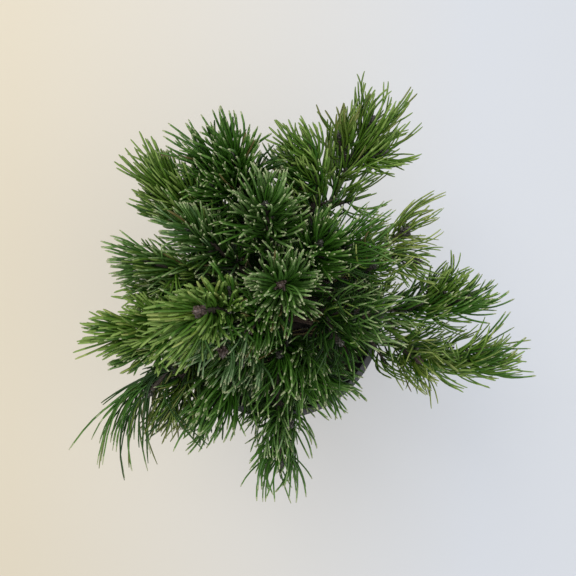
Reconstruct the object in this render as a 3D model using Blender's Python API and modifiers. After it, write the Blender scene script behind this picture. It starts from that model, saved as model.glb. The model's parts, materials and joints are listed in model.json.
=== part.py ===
# Young mugo pine growing in a round nursery pot.
# Metres, +Z up. The origin is the centre of the pot's flat underside.
# A short trunk stands in the soil and runs up as the leader. Boughs leave it all round,
# and each one ends where it meets the stem of its own mass of needles.

import math
import random
from collections import namedtuple

import bmesh
import bpy
import numpy as np
from mathutils import Matrix

MM = 0.001
SEED = 41
JOINT_GAP = 0.3 * MM
WELD = 0.01 * MM
SHARP_EDGE = math.radians(35)
PATH_POINTS = 60

# Pot: a thin moulded pot with a folded rim
POT_HEIGHT = 145 * MM
POT_RIM_RADIUS = 95 * MM
POT_RIM_WIDTH = 6.5 * MM
POT_RIM_DROP = 9 * MM
POT_BASE_RADIUS = 70 * MM
POT_WALL = 2 * MM
POT_FOOT_BEVEL = 3 * MM
POT_RIM_EDGE = 1.2 * MM
POT_RIM_DRAFT = 0.5 * MM
POT_SIDES = 40
POT_CLEARANCE = 5 * MM
HOLE_COUNT = 6
HOLE_RADIUS = 4.5 * MM
HOLE_RING_RADIUS = 52 * MM
HOLE_SIDES = 8

# Soil: fills the pot to a little below the rim
SOIL_TOP = 130 * MM
SOIL_SIDES = 40

# Trunk: from the soil to the foot of the middle shoot
TRUNK_FOOT_RADIUS = 9.5 * MM
TRUNK_TIP_RADIUS = 4.4 * MM
FLARE_SIZE = 6.5 * MM
FLARE_HEIGHT = 7 * MM
TRUNK_LEAN = (5 * MM, 17 * MM)
TRUNK_TOP = 214 * MM
TRUNK_BEND = 0.45
TRUNK_POINTS = 12
TRUNK_CROWDING = 1.6
TRUNK_SIDES_LEVEL = 4

# Boughs
BOUGH_FOOT_RADIUS = 4.2 * MM
BOUGH_THINNING = 0.62
BOUGH_POINTS = 6
BOUGH_LEAST = 16 * MM
BOUGH_CLIMB = 0.75
BOUGH_LIFT = 0.12
BOUGH_SWEEP = 0.37

# Twigs
TWIG_RADIUS = 2.1 * MM
SIDE_TWIG_RADIUS = 1.8 * MM
STEM_FOOT_RADIUS = 2.6 * MM
LEADER_FOOT_RADIUS = 4.0 * MM
TWIG_STEP = 20 * MM
BARE_FOOT = 8 * MM
FORK_ANGLE = 38
FORK_TRIES = 15
SIDE_SWEEP = 0.3
LEADER_SWEEP = 25 * MM
BUD_LENGTH = 9 * MM
BUD_SWELL = 1.35
BUD_SWELL_AT = 5 * MM
BUD_POINT = 0.35

# Needles, in pairs that are wider than life, as each stands for several
PAIR_STEP = 4.9 * MM
PAIR_ROOT_WIDTH = 2.8 * MM
PAIR_TIP_GAP = 9.5 * MM
PAIR_FORK = 0.3
PAIR_THICKNESS = 1.3 * MM
PAIR_ROOM = 1.5 * MM
PAIR_BARE_ROOT = 0.16
PAIR_TRIES = ((0, 1), (0.45, 1), (-0.45, 1), (0, 0.8), (0.45, 0.7), (-0.45, 0.7))
PAIR_CROWDING = 0.8
GOLDEN_ANGLE = math.radians(137.508)
SPREAD_AT_FOOT = 74
SPREAD_AT_BUD = 36
SPREAD_FALL = 1.4
SPREAD_JITTER = 6
TURN_JITTER = 0.25
LENGTH_JITTER = (0.88, 1.04)
WEEP = 0.45
SPACE_OVERLAP = 7 * MM
NEEDLE_CLEARANCE = 0.4 * MM
POT_TESTS = 8
LIMB_RODS = 12

# Finishes: base colour and roughness
GREEN_NEEDLES = ((0.058, 0.125, 0.040), 0.5)
BROWN_BARK = ((0.135, 0.082, 0.052), 0.85)
BLACK_PLASTIC = ((0.012, 0.013, 0.015), 0.45)
PEAT_SOIL = ((0.030, 0.022, 0.016), 0.95)

# A bud has its bearing from the pot's axis (degrees, counted from +X towards +Y), its
# reach and its rise above the rim (mm), the heading and the lean from upright of its
# shoot (degrees), and the length of its needles (mm).
Bud = namedtuple("Bud", "bearing reach rise heading lean needle")

# A mass of needles has the height on the trunk where its bough leaves (mm), the length
# of its stem that bears needles (mm), and its buds. The first bud ends the mass's own
# stem, and the others end side shoots. The middle mass stands on the trunk's tip.
Mass = namedtuple("Mass", "leaves_at needled buds")

# A shoot has its path, the distance along it where its twig starts, the distance where
# its needles start, and its bud.
Shoot = namedtuple("Shoot", "path start needles_from bud")

MASSES = {
    "centre": Mass(214, 80, [Bud(80, 26, 150, 250, 4, 43), Bud(200, 20, 124, 225, 24, 38)]),
    "left_high": Mass(202, 92, [Bud(169, 47, 185, 178, 20, 46), Bud(182, 56, 168, 215, 38, 46),
                                Bud(210, 42, 138, 285, 40, 40)]),
    "far_left": Mass(184, 86, [Bud(184, 98, 122, 185, 64, 45), Bud(192, 98, 102, 204, 72, 43)]),
    "left": Mass(174, 84, [Bud(155, 101, 110, 165, 58, 44), Bud(166, 92, 92, 182, 62, 40)]),
    "upper_left_outer": Mass(157, 92, [Bud(129, 129, 115, 140, 55, 44),
                                       Bud(137, 124, 92, 160, 70, 40)]),
    "upper_left_inner": Mass(192, 70, [Bud(133, 91, 120, 150, 45, 42)]),
    "top_left": Mass(181, 88, [Bud(104, 120, 135, 95, 36, 44), Bud(113, 129, 116, 138, 55, 42),
                               Bud(115, 107, 122, 140, 22, 38)]),
    "upper_centre": Mass(200, 74, [Bud(94, 80, 150, 88, 20, 44)]),
    "centre_right": Mass(186, 74, [Bud(60, 64, 130, 58, 16, 42), Bud(45, 76, 112, 30, 30, 42)]),
    "top_centre": Mass(171, 86, [Bud(78, 131, 105, 108, 56, 44), Bud(83, 118, 88, 80, 50, 40)]),
    "top_right": Mass(149, 108, [Bud(64, 170, 85, 62, 64, 47), Bud(57, 155, 80, 25, 66, 45),
                                 Bud(71, 149, 90, 95, 60, 45)]),
    "right_upper": Mass(163, 80, [Bud(34, 121, 90, 40, 50, 50), Bud(29, 84, 108, 60, 25, 44),
                                  Bud(22, 118, 84, 0, 55, 46)]),
    "right": Mass(153, 106, [Bud(5, 159, 60, 12, 76, 44), Bud(12, 142, 66, 40, 60, 42)]),
    "right_lower": Mass(141, 118, [Bud(-12, 181, 50, -4, 74, 44), Bud(-9, 168, 56, 22, 66, 44),
                                   Bud(-17, 122, 54, -34, 66, 40)]),
    "centre_east": Mass(190, 74, [Bud(2, 78, 105, 10, 34, 42), Bud(-20, 52, 100, -30, 30, 40)]),
    "front": Mass(164, 62, [Bud(-65, 56, 60, -72, 46, 46), Bud(-50, 78, 44, -38, 66, 42),
                            Bud(-84, 28, 88, -90, 30, 42)]),
    "bottom": Mass(145, 80, [Bud(-88, 122, 45, -84, 64, 46), Bud(-83, 90, 48, -55, 52, 42)]),
    "lower_left": Mass(148, 78, [Bud(211, 119, 70, 236, 78, 62), Bud(221, 116, 56, 246, 84, 58)]),
    "lower_left_mid": Mass(172, 72, [Bud(236, 78, 75, 248, 50, 43), Bud(233, 100, 58, 226, 66, 42),
                                     Bud(232, 42, 98, 240, 28, 38)]),
}
MIDDLE_MASS = "centre"

# These masses have long soft needles that hang
WEEPING = ("lower_left", "bottom")


def clear_scene():
    for old in list(bpy.data.objects):
        bpy.data.objects.remove(old, do_unlink=True)


def new_collection(name):
    collection = bpy.data.collections.new(name)
    bpy.context.scene.collection.children.link(collection)
    return collection


def new_material(name, finish):
    colour, roughness = finish
    material = bpy.data.materials.new(name)
    material.use_nodes = True
    shader = material.node_tree.nodes["Principled BSDF"]
    shader.inputs["Base Color"].default_value = (*colour, 1)
    shader.inputs["Roughness"].default_value = roughness
    shader.inputs["Metallic"].default_value = 0
    return material


def place(name, mesh, collection):
    piece = bpy.data.objects.new(name, mesh)
    collection.objects.link(piece)
    return piece


def mark_as_cutter(piece):
    piece.hide_render = True
    piece.display_type = "WIRE"


def polar(bearing, reach, height):
    angle = math.radians(bearing)
    return np.array([reach * math.cos(angle), reach * math.sin(angle), height])


def pointing(heading, lean):
    tilt = math.radians(lean)
    return polar(heading, math.sin(tilt), math.cos(tilt))


def unit(vector):
    return vector / np.linalg.norm(vector)


def bezier(start, first, second, end):
    t = np.linspace(0, 1, PATH_POINTS)[:, None]
    s = 1 - t
    return s**3 * start + 3 * s**2 * t * first + 3 * s * t**2 * second + t**3 * end


def length_along(path):
    steps = np.linalg.norm(np.diff(path, axis=0), axis=1)
    return np.concatenate([[0], np.cumsum(steps)])


def points_between(path, start, end, count):
    # Points spaced evenly along a path, from one distance along it to another
    along = length_along(path)
    wanted = np.linspace(start, end, count)
    return np.stack([np.interp(wanted, along, path[:, axis]) for axis in range(3)], axis=1)


def point_at(path, distance):
    return points_between(path, distance, distance, 1)[0]


def tangent_at(path, distance):
    middle = min(max(distance, MM), length_along(path)[-1] - MM)
    ends = points_between(path, middle - MM, middle + MM, 2)
    return unit(ends[1] - ends[0])


def limb_mesh(name, points, radii, sides_level):
    # A round limb that follows points, with its own thickness at each
    curve = bpy.data.curves.new(name, "CURVE")
    curve.dimensions = "3D"
    curve.bevel_depth = 1
    curve.bevel_resolution = sides_level
    curve.use_fill_caps = True
    spline = curve.splines.new("POLY")
    spline.points.add(len(points) - 1)
    for spot, point, radius in zip(spline.points, points, radii):
        spot.co = (*point, 1)
        spot.radius = radius
    return solid_of_curve(name, curve)


def solid_of_curve(name, curve):
    # The closed mesh that a curve makes, with its loose caps welded
    guide = place(name + "_guide", curve, bpy.context.scene.collection)
    depsgraph = bpy.context.evaluated_depsgraph_get()
    mesh = bpy.data.meshes.new_from_object(guide.evaluated_get(depsgraph))
    bpy.data.objects.remove(guide, do_unlink=True)
    shape = bmesh.new()
    shape.from_mesh(mesh)
    bmesh.ops.remove_doubles(shape, verts=shape.verts, dist=WELD)
    bmesh.ops.recalc_face_normals(shape, faces=shape.faces)
    shape.to_mesh(mesh)
    shape.free()
    return mesh


def apply_modifiers(piece):
    # Replaces the piece's mesh by what its modifiers make
    depsgraph = bpy.context.evaluated_depsgraph_get()
    mesh = bpy.data.meshes.new_from_object(piece.evaluated_get(depsgraph))
    piece.modifiers.clear()
    piece.data = mesh


def finish(piece, material):
    # Smooth where it is round, sharp at its edges, and all in one material
    piece.data.shade_smooth()
    piece.data.set_sharp_from_angle(angle=SHARP_EDGE)
    piece.data.materials.clear()
    piece.data.materials.append(material)
    return piece


def turned(name, profile, sides, collection):
    # A round piece from (radius, height) points that run down its outer side
    mesh = bpy.data.meshes.new(name)
    points = [(radius, 0, height) for radius, height in profile]
    mesh.from_pydata(points, [(i, i + 1) for i in range(len(points) - 1)], [])
    piece = place(name, mesh, collection)
    screw = piece.modifiers.new("Turn", "SCREW")
    screw.steps = sides
    screw.render_steps = sides
    screw.use_merge_vertices = True
    screw.merge_threshold = WELD
    return piece


def wall_radius(height):
    # Outer radius of the pot's tapered side, under its rim
    share = height / POT_HEIGHT
    top = POT_RIM_RADIUS - POT_RIM_WIDTH + POT_WALL
    return POT_BASE_RADIUS + (top - POT_BASE_RADIUS) * share


def bore_radius(height):
    return wall_radius(height) - POT_WALL


def make_pot(collection, cutters):
    rim_foot = POT_HEIGHT - POT_RIM_DROP
    profile = [
        (0, POT_WALL),
        (bore_radius(POT_WALL), POT_WALL),
        (bore_radius(POT_HEIGHT), POT_HEIGHT),
        (POT_RIM_RADIUS - POT_RIM_EDGE, POT_HEIGHT),
        (POT_RIM_RADIUS, POT_HEIGHT - POT_RIM_EDGE),
        (POT_RIM_RADIUS - POT_RIM_DRAFT, rim_foot),
        (wall_radius(rim_foot), rim_foot),
        (wall_radius(POT_FOOT_BEVEL), POT_FOOT_BEVEL),
        (POT_BASE_RADIUS - POT_FOOT_BEVEL, 0),
        (0, 0),
    ]
    pot = turned("pot", profile, POT_SIDES, collection)
    for number in range(HOLE_COUNT):
        shape = bmesh.new()
        bmesh.ops.create_cone(shape, cap_ends=True, segments=HOLE_SIDES, radius1=HOLE_RADIUS,
                              radius2=HOLE_RADIUS, depth=6 * POT_WALL)
        mesh = bpy.data.meshes.new("drain_hole")
        shape.to_mesh(mesh)
        shape.free()
        cutter = place("drain_hole", mesh, cutters)
        cutter.location = polar(360 * (number + 0.5) / HOLE_COUNT, HOLE_RING_RADIUS, 0)
        mark_as_cutter(cutter)
    cut = pot.modifiers.new("Drain holes", "BOOLEAN")
    cut.operation = "DIFFERENCE"
    cut.operand_type = "COLLECTION"
    cut.collection = cutters
    apply_modifiers(pot)
    return finish(pot, new_material("pot_plastic", BLACK_PLASTIC))


def make_soil(collection):
    # Lies in the pot's bore, clear of its wall and its floor
    bottom = POT_WALL + JOINT_GAP
    profile = [
        (0, SOIL_TOP),
        (bore_radius(SOIL_TOP) - JOINT_GAP, SOIL_TOP),
        (bore_radius(bottom) - JOINT_GAP, bottom),
        (0, bottom),
    ]
    soil = turned("soil", profile, SOIL_SIDES, collection)
    apply_modifiers(soil)
    return finish(soil, new_material("potting_soil", PEAT_SOIL))


def trunk_path():
    foot = np.array([0, 0, SOIL_TOP + JOINT_GAP])
    lean = np.array([TRUNK_LEAN[0], TRUNK_LEAN[1], 0])
    rise = np.array([0, 0, TRUNK_TOP - foot[2]])
    bend = foot + rise * 2 / 3 + lean * TRUNK_BEND
    return bezier(foot, foot + rise / 3, bend, foot + rise + lean)


def trunk_radius(height):
    # Thickness at a height above the soil, with the flare at the foot
    share = min(max(height / (TRUNK_TOP - SOIL_TOP), 0), 1)
    taper = TRUNK_FOOT_RADIUS + (TRUNK_TIP_RADIUS - TRUNK_FOOT_RADIUS) * share
    return taper + FLARE_SIZE * math.exp(-height / FLARE_HEIGHT)


def trunk_mesh(name, swell):
    # The flare takes closer rings near the soil
    path = trunk_path()
    total = length_along(path)[-1]
    shares = [number / (TRUNK_POINTS - 1) for number in range(TRUNK_POINTS)]
    spots = [total * share**TRUNK_CROWDING for share in shares]
    points = [point_at(path, spot) for spot in spots]
    points[0] = points[0] - np.array([0, 0, swell])
    points[-1] = points[-1] + np.array([0, 0, swell])
    radii = [trunk_radius(spot) + swell for spot in spots]
    return limb_mesh(name, points, radii, TRUNK_SIDES_LEVEL)


def make_trunk(collection):
    trunk = place("trunk", trunk_mesh("trunk", 0), collection)
    return finish(trunk, new_material("trunk_bark", BROWN_BARK))


def bud_place(bud):
    return polar(bud.bearing, bud.reach * MM, POT_HEIGHT + bud.rise * MM)


def leading_path(name):
    # From the trunk's middle to the mass's first bud, in one sweep
    mass = MASSES[name]
    end = bud_place(mass.buds[0])
    upward = pointing(mass.buds[0].heading, mass.buds[0].lean)
    spine = trunk_path()
    if name == MIDDLE_MASS:
        ahead = tangent_at(spine, length_along(spine)[-1])
        foot = spine[-1]
        return bezier(foot, foot + ahead * LEADER_SWEEP, end - upward * LEADER_SWEEP, end)
    foot = point_at(spine, mass.leaves_at * MM - SOIL_TOP)
    span = end - foot
    reach = np.linalg.norm(span)
    flat = unit(np.array([span[0], span[1], 0]))
    climb = BOUGH_CLIMB * max(span[2], 0) / reach + BOUGH_LIFT
    outward = unit(flat + np.array([0, 0, climb]))
    sweep = reach * BOUGH_SWEEP
    return bezier(foot, foot + outward * sweep, end - upward * sweep, end)


def side_path(stem, bud, low, high):
    # A side shoot leaves the stem, between two distances along it, where its way to the
    # bud opens most nearly at the fork angle
    end = bud_place(bud)
    upward = pointing(bud.heading, bud.lean)
    best = None
    for spot in np.linspace(low, high, FORK_TRIES):
        foot = point_at(stem, spot)
        ahead = tangent_at(stem, spot)
        turn = math.degrees(math.acos(np.clip(ahead @ unit(end - foot), -1, 1)))
        miss = abs(turn - FORK_ANGLE)
        if best is None or miss < best[0]:
            best = (miss, foot, ahead)
    foot, ahead = best[1:]
    sweep = np.linalg.norm(end - foot) * SIDE_SWEEP
    return bezier(foot, foot + ahead * sweep, end - upward * sweep, end)


def plan_masses():
    # For each mass: its bough's path, the distance along it where the bough ends, and
    # its shoots
    plan = {}
    for name, mass in MASSES.items():
        path = leading_path(name)
        total = length_along(path)[-1]
        if name == MIDDLE_MASS:
            split = 0
            foot = JOINT_GAP
        else:
            split = max(total - mass.needled * MM, BOUGH_LEAST)
            foot = split + JOINT_GAP / 2
        shoots = [Shoot(path, foot, split + BARE_FOOT, mass.buds[0])]
        for bud in mass.buds[1:]:
            side = side_path(path, bud, split + BARE_FOOT, total - 2 * BUD_LENGTH)
            shoots.append(Shoot(side, 0, BARE_FOOT, bud))
        plan[name] = (path, split, shoots)
    return plan


def twig_mesh(name, shoot, foot_radius, radius):
    # Tapers to the bud, which swells and closes to a blunt tip
    total = length_along(shoot.path)[-1]
    count = max(3, round((total - shoot.start) / TWIG_STEP) + 1)
    body = points_between(shoot.path, shoot.start, total - BUD_LENGTH, count)
    swell = point_at(shoot.path, total - BUD_SWELL_AT)
    points = np.concatenate([body, [swell], shoot.path[-1:]])
    radii = list(np.linspace(foot_radius, radius, count))
    return limb_mesh(name, points, radii + [radius * BUD_SWELL, radius * BUD_POINT], 0)


def make_bough(name, path, split, collection, cutters):
    # The bough is cut clear of the trunk, which is swollen by the gap to make the cutter
    points = points_between(path, 0, split - JOINT_GAP / 2, BOUGH_POINTS)
    radii = []
    for number in range(BOUGH_POINTS):
        share = (number / (BOUGH_POINTS - 1)) ** BOUGH_THINNING
        radii.append(BOUGH_FOOT_RADIUS + (STEM_FOOT_RADIUS - BOUGH_FOOT_RADIUS) * share)
    bough = place("bough_" + name, limb_mesh(name, points, radii, 1), collection)
    cut = bough.modifiers.new("Trunk", "BOOLEAN")
    cut.operation = "DIFFERENCE"
    cut.object = cutters.objects["trunk_clearance"]
    apply_modifiers(bough)
    keep_largest_body(bough.data)
    return finish(bough, new_material("bark_" + name, BROWN_BARK))


def keep_largest_body(mesh):
    # Drops loose scraps that a cut or a join leaves
    shape = bmesh.new()
    shape.from_mesh(mesh)
    left = set(shape.faces)
    bodies = []
    while left:
        todo = [left.pop()]
        body = list(todo)
        while todo:
            for edge in todo.pop().edges:
                near = [face for face in edge.link_faces if face in left]
                left.difference_update(near)
                body.extend(near)
                todo.extend(near)
        bodies.append(body)
    bodies.sort(key=len, reverse=True)
    scraps = [face for body in bodies[1:] for face in body]
    bmesh.ops.delete(shape, geom=scraps, context="FACES")
    shape.to_mesh(mesh)
    shape.free()


class Thickets:
    # What stands where: rods with their thickness and owner, and points along the shoots
    # of each mass, which say whose space a place is in

    def __init__(self):
        self.starts = []
        self.ends = []
        self.radii = []
        self.owners = []
        self.woody = []
        self.axis_points = []
        self.axis_owners = []

    def add_rod(self, start, end, radius, owner, woody):
        self.starts.append(start)
        self.ends.append(end)
        self.radii.append(radius)
        self.owners.append(owner)
        self.woody.append(woody)

    def add_limb(self, points, radius, owner):
        for start, end in zip(points[:-1], points[1:]):
            self.add_rod(start, end, radius, owner, True)

    def add_axis(self, points, owner):
        self.axis_points.extend(points)
        self.axis_owners.extend([owner] * len(points))

    def in_space(self, point, owner):
        away = np.linalg.norm(np.array(self.axis_points) - point, axis=1)
        own = np.array(self.axis_owners) == owner
        return away[own].min() <= away[~own].min() + SPACE_OVERLAP

    def room(self, start, end, radius):
        away = rod_distances(start, end, np.array(self.starts), np.array(self.ends))
        return away - np.array(self.radii) - radius

    def is_clear(self, pair, owner):
        # From its root it stays clear of other masses and limbs. Past its root it stays
        # clear of the needles of its own mass too.
        own = np.array(self.owners) == owner
        own_needles = own & ~np.array(self.woody)
        for whole, past_root in zip(pair.rods(0), pair.rods(PAIR_BARE_ROOT)):
            if self.room(*whole, PAIR_ROOM)[~own].min() < NEEDLE_CLEARANCE:
                return False
            if own_needles.any():
                if self.room(*past_root, PAIR_ROOM)[own_needles].min() < NEEDLE_CLEARANCE:
                    return False
        return True


def rod_distances(p, q, starts, ends):
    # Shortest distance from one straight rod to each of many
    d1 = q - p
    d2 = ends - starts
    r = p - starts
    a = d1 @ d1
    e = np.einsum("ij,ij->i", d2, d2)
    f = np.einsum("ij,ij->i", d2, r)
    c = r @ d1
    b = d2 @ d1
    level = a * e - b * b
    s = np.where(level > 1e-18, np.clip((b * f - c * e) / np.maximum(level, 1e-18), 0, 1), 0)
    t = np.clip((b * s + f) / e, 0, 1)
    s = np.clip((b * t - c) / a, 0, 1)
    near = p + s[:, None] * d1
    far = starts + t[:, None] * d2
    return np.linalg.norm(near - far, axis=1)


def across(direction):
    # Two directions square to one and to each other
    helper = np.array([0, 0, 1]) if abs(direction[2]) < 0.9 else np.array([1, 0, 0])
    first = unit(np.cross(direction, helper))
    return first, np.cross(direction, first)


class NeedlePair:
    # Two needles from one sheath. They part sideways, round the shoot.

    def __init__(self, path, spot, turn, spread, length, weep):
        ahead = tangent_at(path, spot)
        first, second = across(ahead)
        outward = math.cos(turn) * first + math.sin(turn) * second
        angle = math.radians(spread)
        self.root = point_at(path, spot)
        self.length = length
        self.along = unit(math.cos(angle) * ahead + math.sin(angle) * outward
                          - np.array([0, 0, weep]))
        self.side = unit(np.cross(ahead, self.along))

    def at(self, share, sideways):
        return self.root + self.along * self.length * share + self.side * sideways

    def tips(self):
        return [self.at(1, -PAIR_TIP_GAP / 2), self.at(1, PAIR_TIP_GAP / 2)]

    def rods(self, start):
        # The room that the pair takes up, from a share of its length
        foot = self.at(start, 0)
        return [(foot, self.at(PAIR_FORK, 0))] + [(foot, tip) for tip in self.tips()]

    def matrix(self):
        up = np.cross(self.side, self.along)
        columns = [self.side, self.along * self.length, up, self.root]
        rows = [[column[axis] for column in columns] for axis in range(3)]
        return Matrix(rows + [(0, 0, 0, 1)])


def pairs_of_shoot(shoot, owner, rng, thickets):
    # Pairs wind up the shoot by the golden angle, closer and more forward to its bud
    begin = shoot.needles_from
    end = length_along(shoot.path)[-1] - BUD_SWELL_AT
    count = round((end - begin) / PAIR_STEP)
    weep = WEEP if owner in WEEPING else 0
    found = []
    phase = rng.uniform(0, math.tau)
    for step in range(count):
        share = ((step + 0.5) / count) ** PAIR_CROWDING
        spot = begin + (end - begin) * share
        spread = SPREAD_AT_FOOT + (SPREAD_AT_BUD - SPREAD_AT_FOOT) * share**SPREAD_FALL
        spread += rng.uniform(-SPREAD_JITTER, SPREAD_JITTER)
        length = shoot.bud.needle * MM * rng.uniform(*LENGTH_JITTER)
        turn = phase + GOLDEN_ANGLE * step + rng.uniform(-TURN_JITTER, TURN_JITTER)
        for aside, shorter in PAIR_TRIES:
            pair = NeedlePair(shoot.path, spot, turn + aside, spread, length * shorter, weep)
            if pair_fits(pair, thickets, owner):
                found.append(pair)
                for start, tip in pair.rods(0):
                    thickets.add_rod(start, tip, PAIR_ROOM, owner, False)
                break
    return found


def near_pot(point):
    low = point[2] < POT_HEIGHT + POT_CLEARANCE
    return low and math.hypot(point[0], point[1]) < POT_RIM_RADIUS + POT_CLEARANCE


def pair_fits(pair, thickets, owner):
    # A pair that would reach the pot, leave its mass's space or touch a limb, a twig
    # or another pair is left out
    for tip in pair.tips():
        if any(near_pot(point) for point in np.linspace(pair.root, tip, POT_TESTS)):
            return False
        if not thickets.in_space(tip, owner):
            return False
    return thickets.is_clear(pair, owner)


def pair_mesh():
    # A flat outline with two points, one unit long, which each pair stretches to its length
    curve = bpy.data.curves.new("needle_pair", "CURVE")
    curve.dimensions = "2D"
    curve.fill_mode = "BOTH"
    curve.extrude = PAIR_THICKNESS / 2
    outline = [(-PAIR_ROOT_WIDTH / 2, 0), (PAIR_ROOT_WIDTH / 2, 0), (PAIR_TIP_GAP / 2, 1),
               (0, PAIR_FORK), (-PAIR_TIP_GAP / 2, 1)]
    spline = curve.splines.new("POLY")
    spline.points.add(len(outline) - 1)
    for spot, (sideways, along) in zip(spline.points, outline):
        spot.co = (sideways, along, 0, 1)
    spline.use_cyclic_u = True
    return solid_of_curve("needle_pair", curve)


def join_mass(name, stem, twigs, pairs, needle_pair, collection):
    # One union of the stem with its side twigs and needles, then the loose ones go
    loose = new_collection(name + "_loose")
    for mesh in twigs:
        mark_as_cutter(place(name + "_twig", mesh, loose))
    for pair in pairs:
        piece = place(name + "_pair", needle_pair, loose)
        piece.matrix_world = pair.matrix()
        mark_as_cutter(piece)
    mass = place("needles_" + name, stem, collection)
    union = mass.modifiers.new("Join", "BOOLEAN")
    union.operation = "UNION"
    union.operand_type = "COLLECTION"
    union.collection = loose
    apply_modifiers(mass)
    for piece in list(loose.objects):
        bpy.data.objects.remove(piece, do_unlink=True)
    bpy.data.collections.remove(loose)
    keep_largest_body(mass.data)
    return finish(mass, new_material("needles_" + name, GREEN_NEEDLES))


def foot_radius_of(name, number):
    # The stem starts as thick as the limb that it meets
    if number > 0:
        return SIDE_TWIG_RADIUS
    return LEADER_FOOT_RADIUS if name == MIDDLE_MASS else STEM_FOOT_RADIUS


def fill_thickets(plan):
    # The trunk, the boughs and every twig stand before the first needle is placed
    thickets = Thickets()
    spine = points_between(trunk_path(), 0, TRUNK_TOP - SOIL_TOP, LIMB_RODS)
    for low, high in zip(spine, spine[1:]):
        thickets.add_limb([low, high], trunk_radius(low[2] - SOIL_TOP), "trunk")
    for name, (path, split, shoots) in plan.items():
        if split > 0:
            thickets.add_limb(points_between(path, 0, split, LIMB_RODS), BOUGH_FOOT_RADIUS, "boughs")
        for number, shoot in enumerate(shoots):
            end = length_along(shoot.path)[-1]
            points = points_between(shoot.path, shoot.start, end, LIMB_RODS)
            thickets.add_limb(points, foot_radius_of(name, number), name)
            thickets.add_axis(points_between(shoot.path, shoot.needles_from, end, LIMB_RODS), name)
    return thickets


def main():
    clear_scene()
    pine = new_collection("potted_mugo_pine")
    cutters = new_collection("cutters")
    drain_cutters = bpy.data.collections.new("drain_cutters")
    cutters.children.link(drain_cutters)
    make_pot(pine, drain_cutters)
    make_soil(pine)
    make_trunk(pine)
    clearance = place("trunk_clearance", trunk_mesh("trunk_clearance", JOINT_GAP), cutters)
    mark_as_cutter(clearance)

    plan = plan_masses()
    thickets = fill_thickets(plan)
    needle_pair = pair_mesh()
    rng = random.Random(SEED)
    for name, (path, split, shoots) in plan.items():
        if split > 0:
            make_bough(name, path, split, pine, cutters)
        twigs = []
        pairs = []
        for number, shoot in enumerate(shoots):
            radius = SIDE_TWIG_RADIUS if number else TWIG_RADIUS
            twigs.append(twig_mesh(name, shoot, foot_radius_of(name, number), radius))
            pairs += pairs_of_shoot(shoot, name, rng, thickets)
        join_mass(name, twigs[0], twigs[1:], pairs, needle_pair, pine)


main()
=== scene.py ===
# A young mugo pine in its round nursery pot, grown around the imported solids.
# The boughs, twigs and needles follow the same rule as the solids, and go on to finer twigs.
import json
import math
import random
from collections import namedtuple

import bmesh
import bpy
import numpy as np
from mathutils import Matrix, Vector, noise

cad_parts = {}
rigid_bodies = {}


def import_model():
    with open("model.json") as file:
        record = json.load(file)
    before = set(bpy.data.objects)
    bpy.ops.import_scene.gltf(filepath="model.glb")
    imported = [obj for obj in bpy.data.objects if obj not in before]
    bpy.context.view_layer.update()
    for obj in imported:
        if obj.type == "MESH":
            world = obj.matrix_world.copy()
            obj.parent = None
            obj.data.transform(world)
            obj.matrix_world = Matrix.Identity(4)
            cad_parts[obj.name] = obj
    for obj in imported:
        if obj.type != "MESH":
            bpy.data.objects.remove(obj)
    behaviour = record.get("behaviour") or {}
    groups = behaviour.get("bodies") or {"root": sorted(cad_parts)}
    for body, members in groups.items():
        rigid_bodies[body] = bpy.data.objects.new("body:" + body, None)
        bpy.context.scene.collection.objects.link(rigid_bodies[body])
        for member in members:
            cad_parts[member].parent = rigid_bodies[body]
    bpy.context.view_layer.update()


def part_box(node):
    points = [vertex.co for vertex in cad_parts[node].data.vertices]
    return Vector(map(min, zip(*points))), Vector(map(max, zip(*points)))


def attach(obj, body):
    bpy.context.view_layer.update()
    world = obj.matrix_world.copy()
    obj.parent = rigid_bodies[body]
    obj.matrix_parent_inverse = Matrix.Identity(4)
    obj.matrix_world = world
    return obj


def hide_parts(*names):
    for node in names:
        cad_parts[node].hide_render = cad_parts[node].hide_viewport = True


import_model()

mm = 0.001
goldenAngle = math.radians(137.508)

# Sizes of the pot and the limbs, most of them as in the solids
potSizes = {
    "height": 145 * mm, "rimRadius": 95 * mm, "rimWidth": 6.5 * mm, "rimDrop": 9 * mm,
    "baseRadius": 70 * mm, "wall": 2 * mm, "footBevel": 3 * mm, "rimEdge": 1.2 * mm,
    "rimDraft": 0.5 * mm, "sides": 128, "holes": 6, "holeRadius": 4.5 * mm,
    "holeRing": 52 * mm, "soilTop": 130 * mm,
}
trunkSizes = {
    "footRadius": 9.5 * mm, "tipRadius": 4.4 * mm, "flareSize": 6.5 * mm, "flareHeight": 7 * mm,
    "leanX": 5 * mm, "leanY": 17 * mm, "top": 214 * mm, "bend": 0.45, "footGap": 0.3 * mm,
    "below": 2 * mm, "points": 70,
}
boughSizes = {
    "footRadius": 4.2 * mm, "endRadius": 2.6 * mm, "thinning": 0.62, "least": 16 * mm,
    "climb": 0.75, "lift": 0.12, "sweep": 0.37, "leaderSweep": 25 * mm,
    "apart": 1.6 * mm, "fewest": 8,
}
twigSizes = {
    "budRadius": 2.1 * mm, "sideRadius": 1.8 * mm, "fineRadius": 1.25 * mm, "bareFoot": 8 * mm,
    "forkAngle": 38, "forkTries": 15, "sideSweep": 0.3, "budLength": 9 * mm,
    "inBud": (0.4, 0.4, 0.25, 0.25), "foot": 1.15, "fineEnd": 0.85, "apart": 2.2 * mm, "fewest": 5,
}

# For each mass: where its bough leaves the trunk (mm), the needled length (mm), its greens, and
# its buds, as in the solids. A bud has its bearing, its reach and its rise above the rim (degrees,
# mm, mm), the heading and the lean of its shoot (degrees), and its needles' length (mm).
Mass = namedtuple("Mass", "leavesAt needled greens buds")
Bud = namedtuple("Bud", "bearing reach rise heading lean needle")
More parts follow.
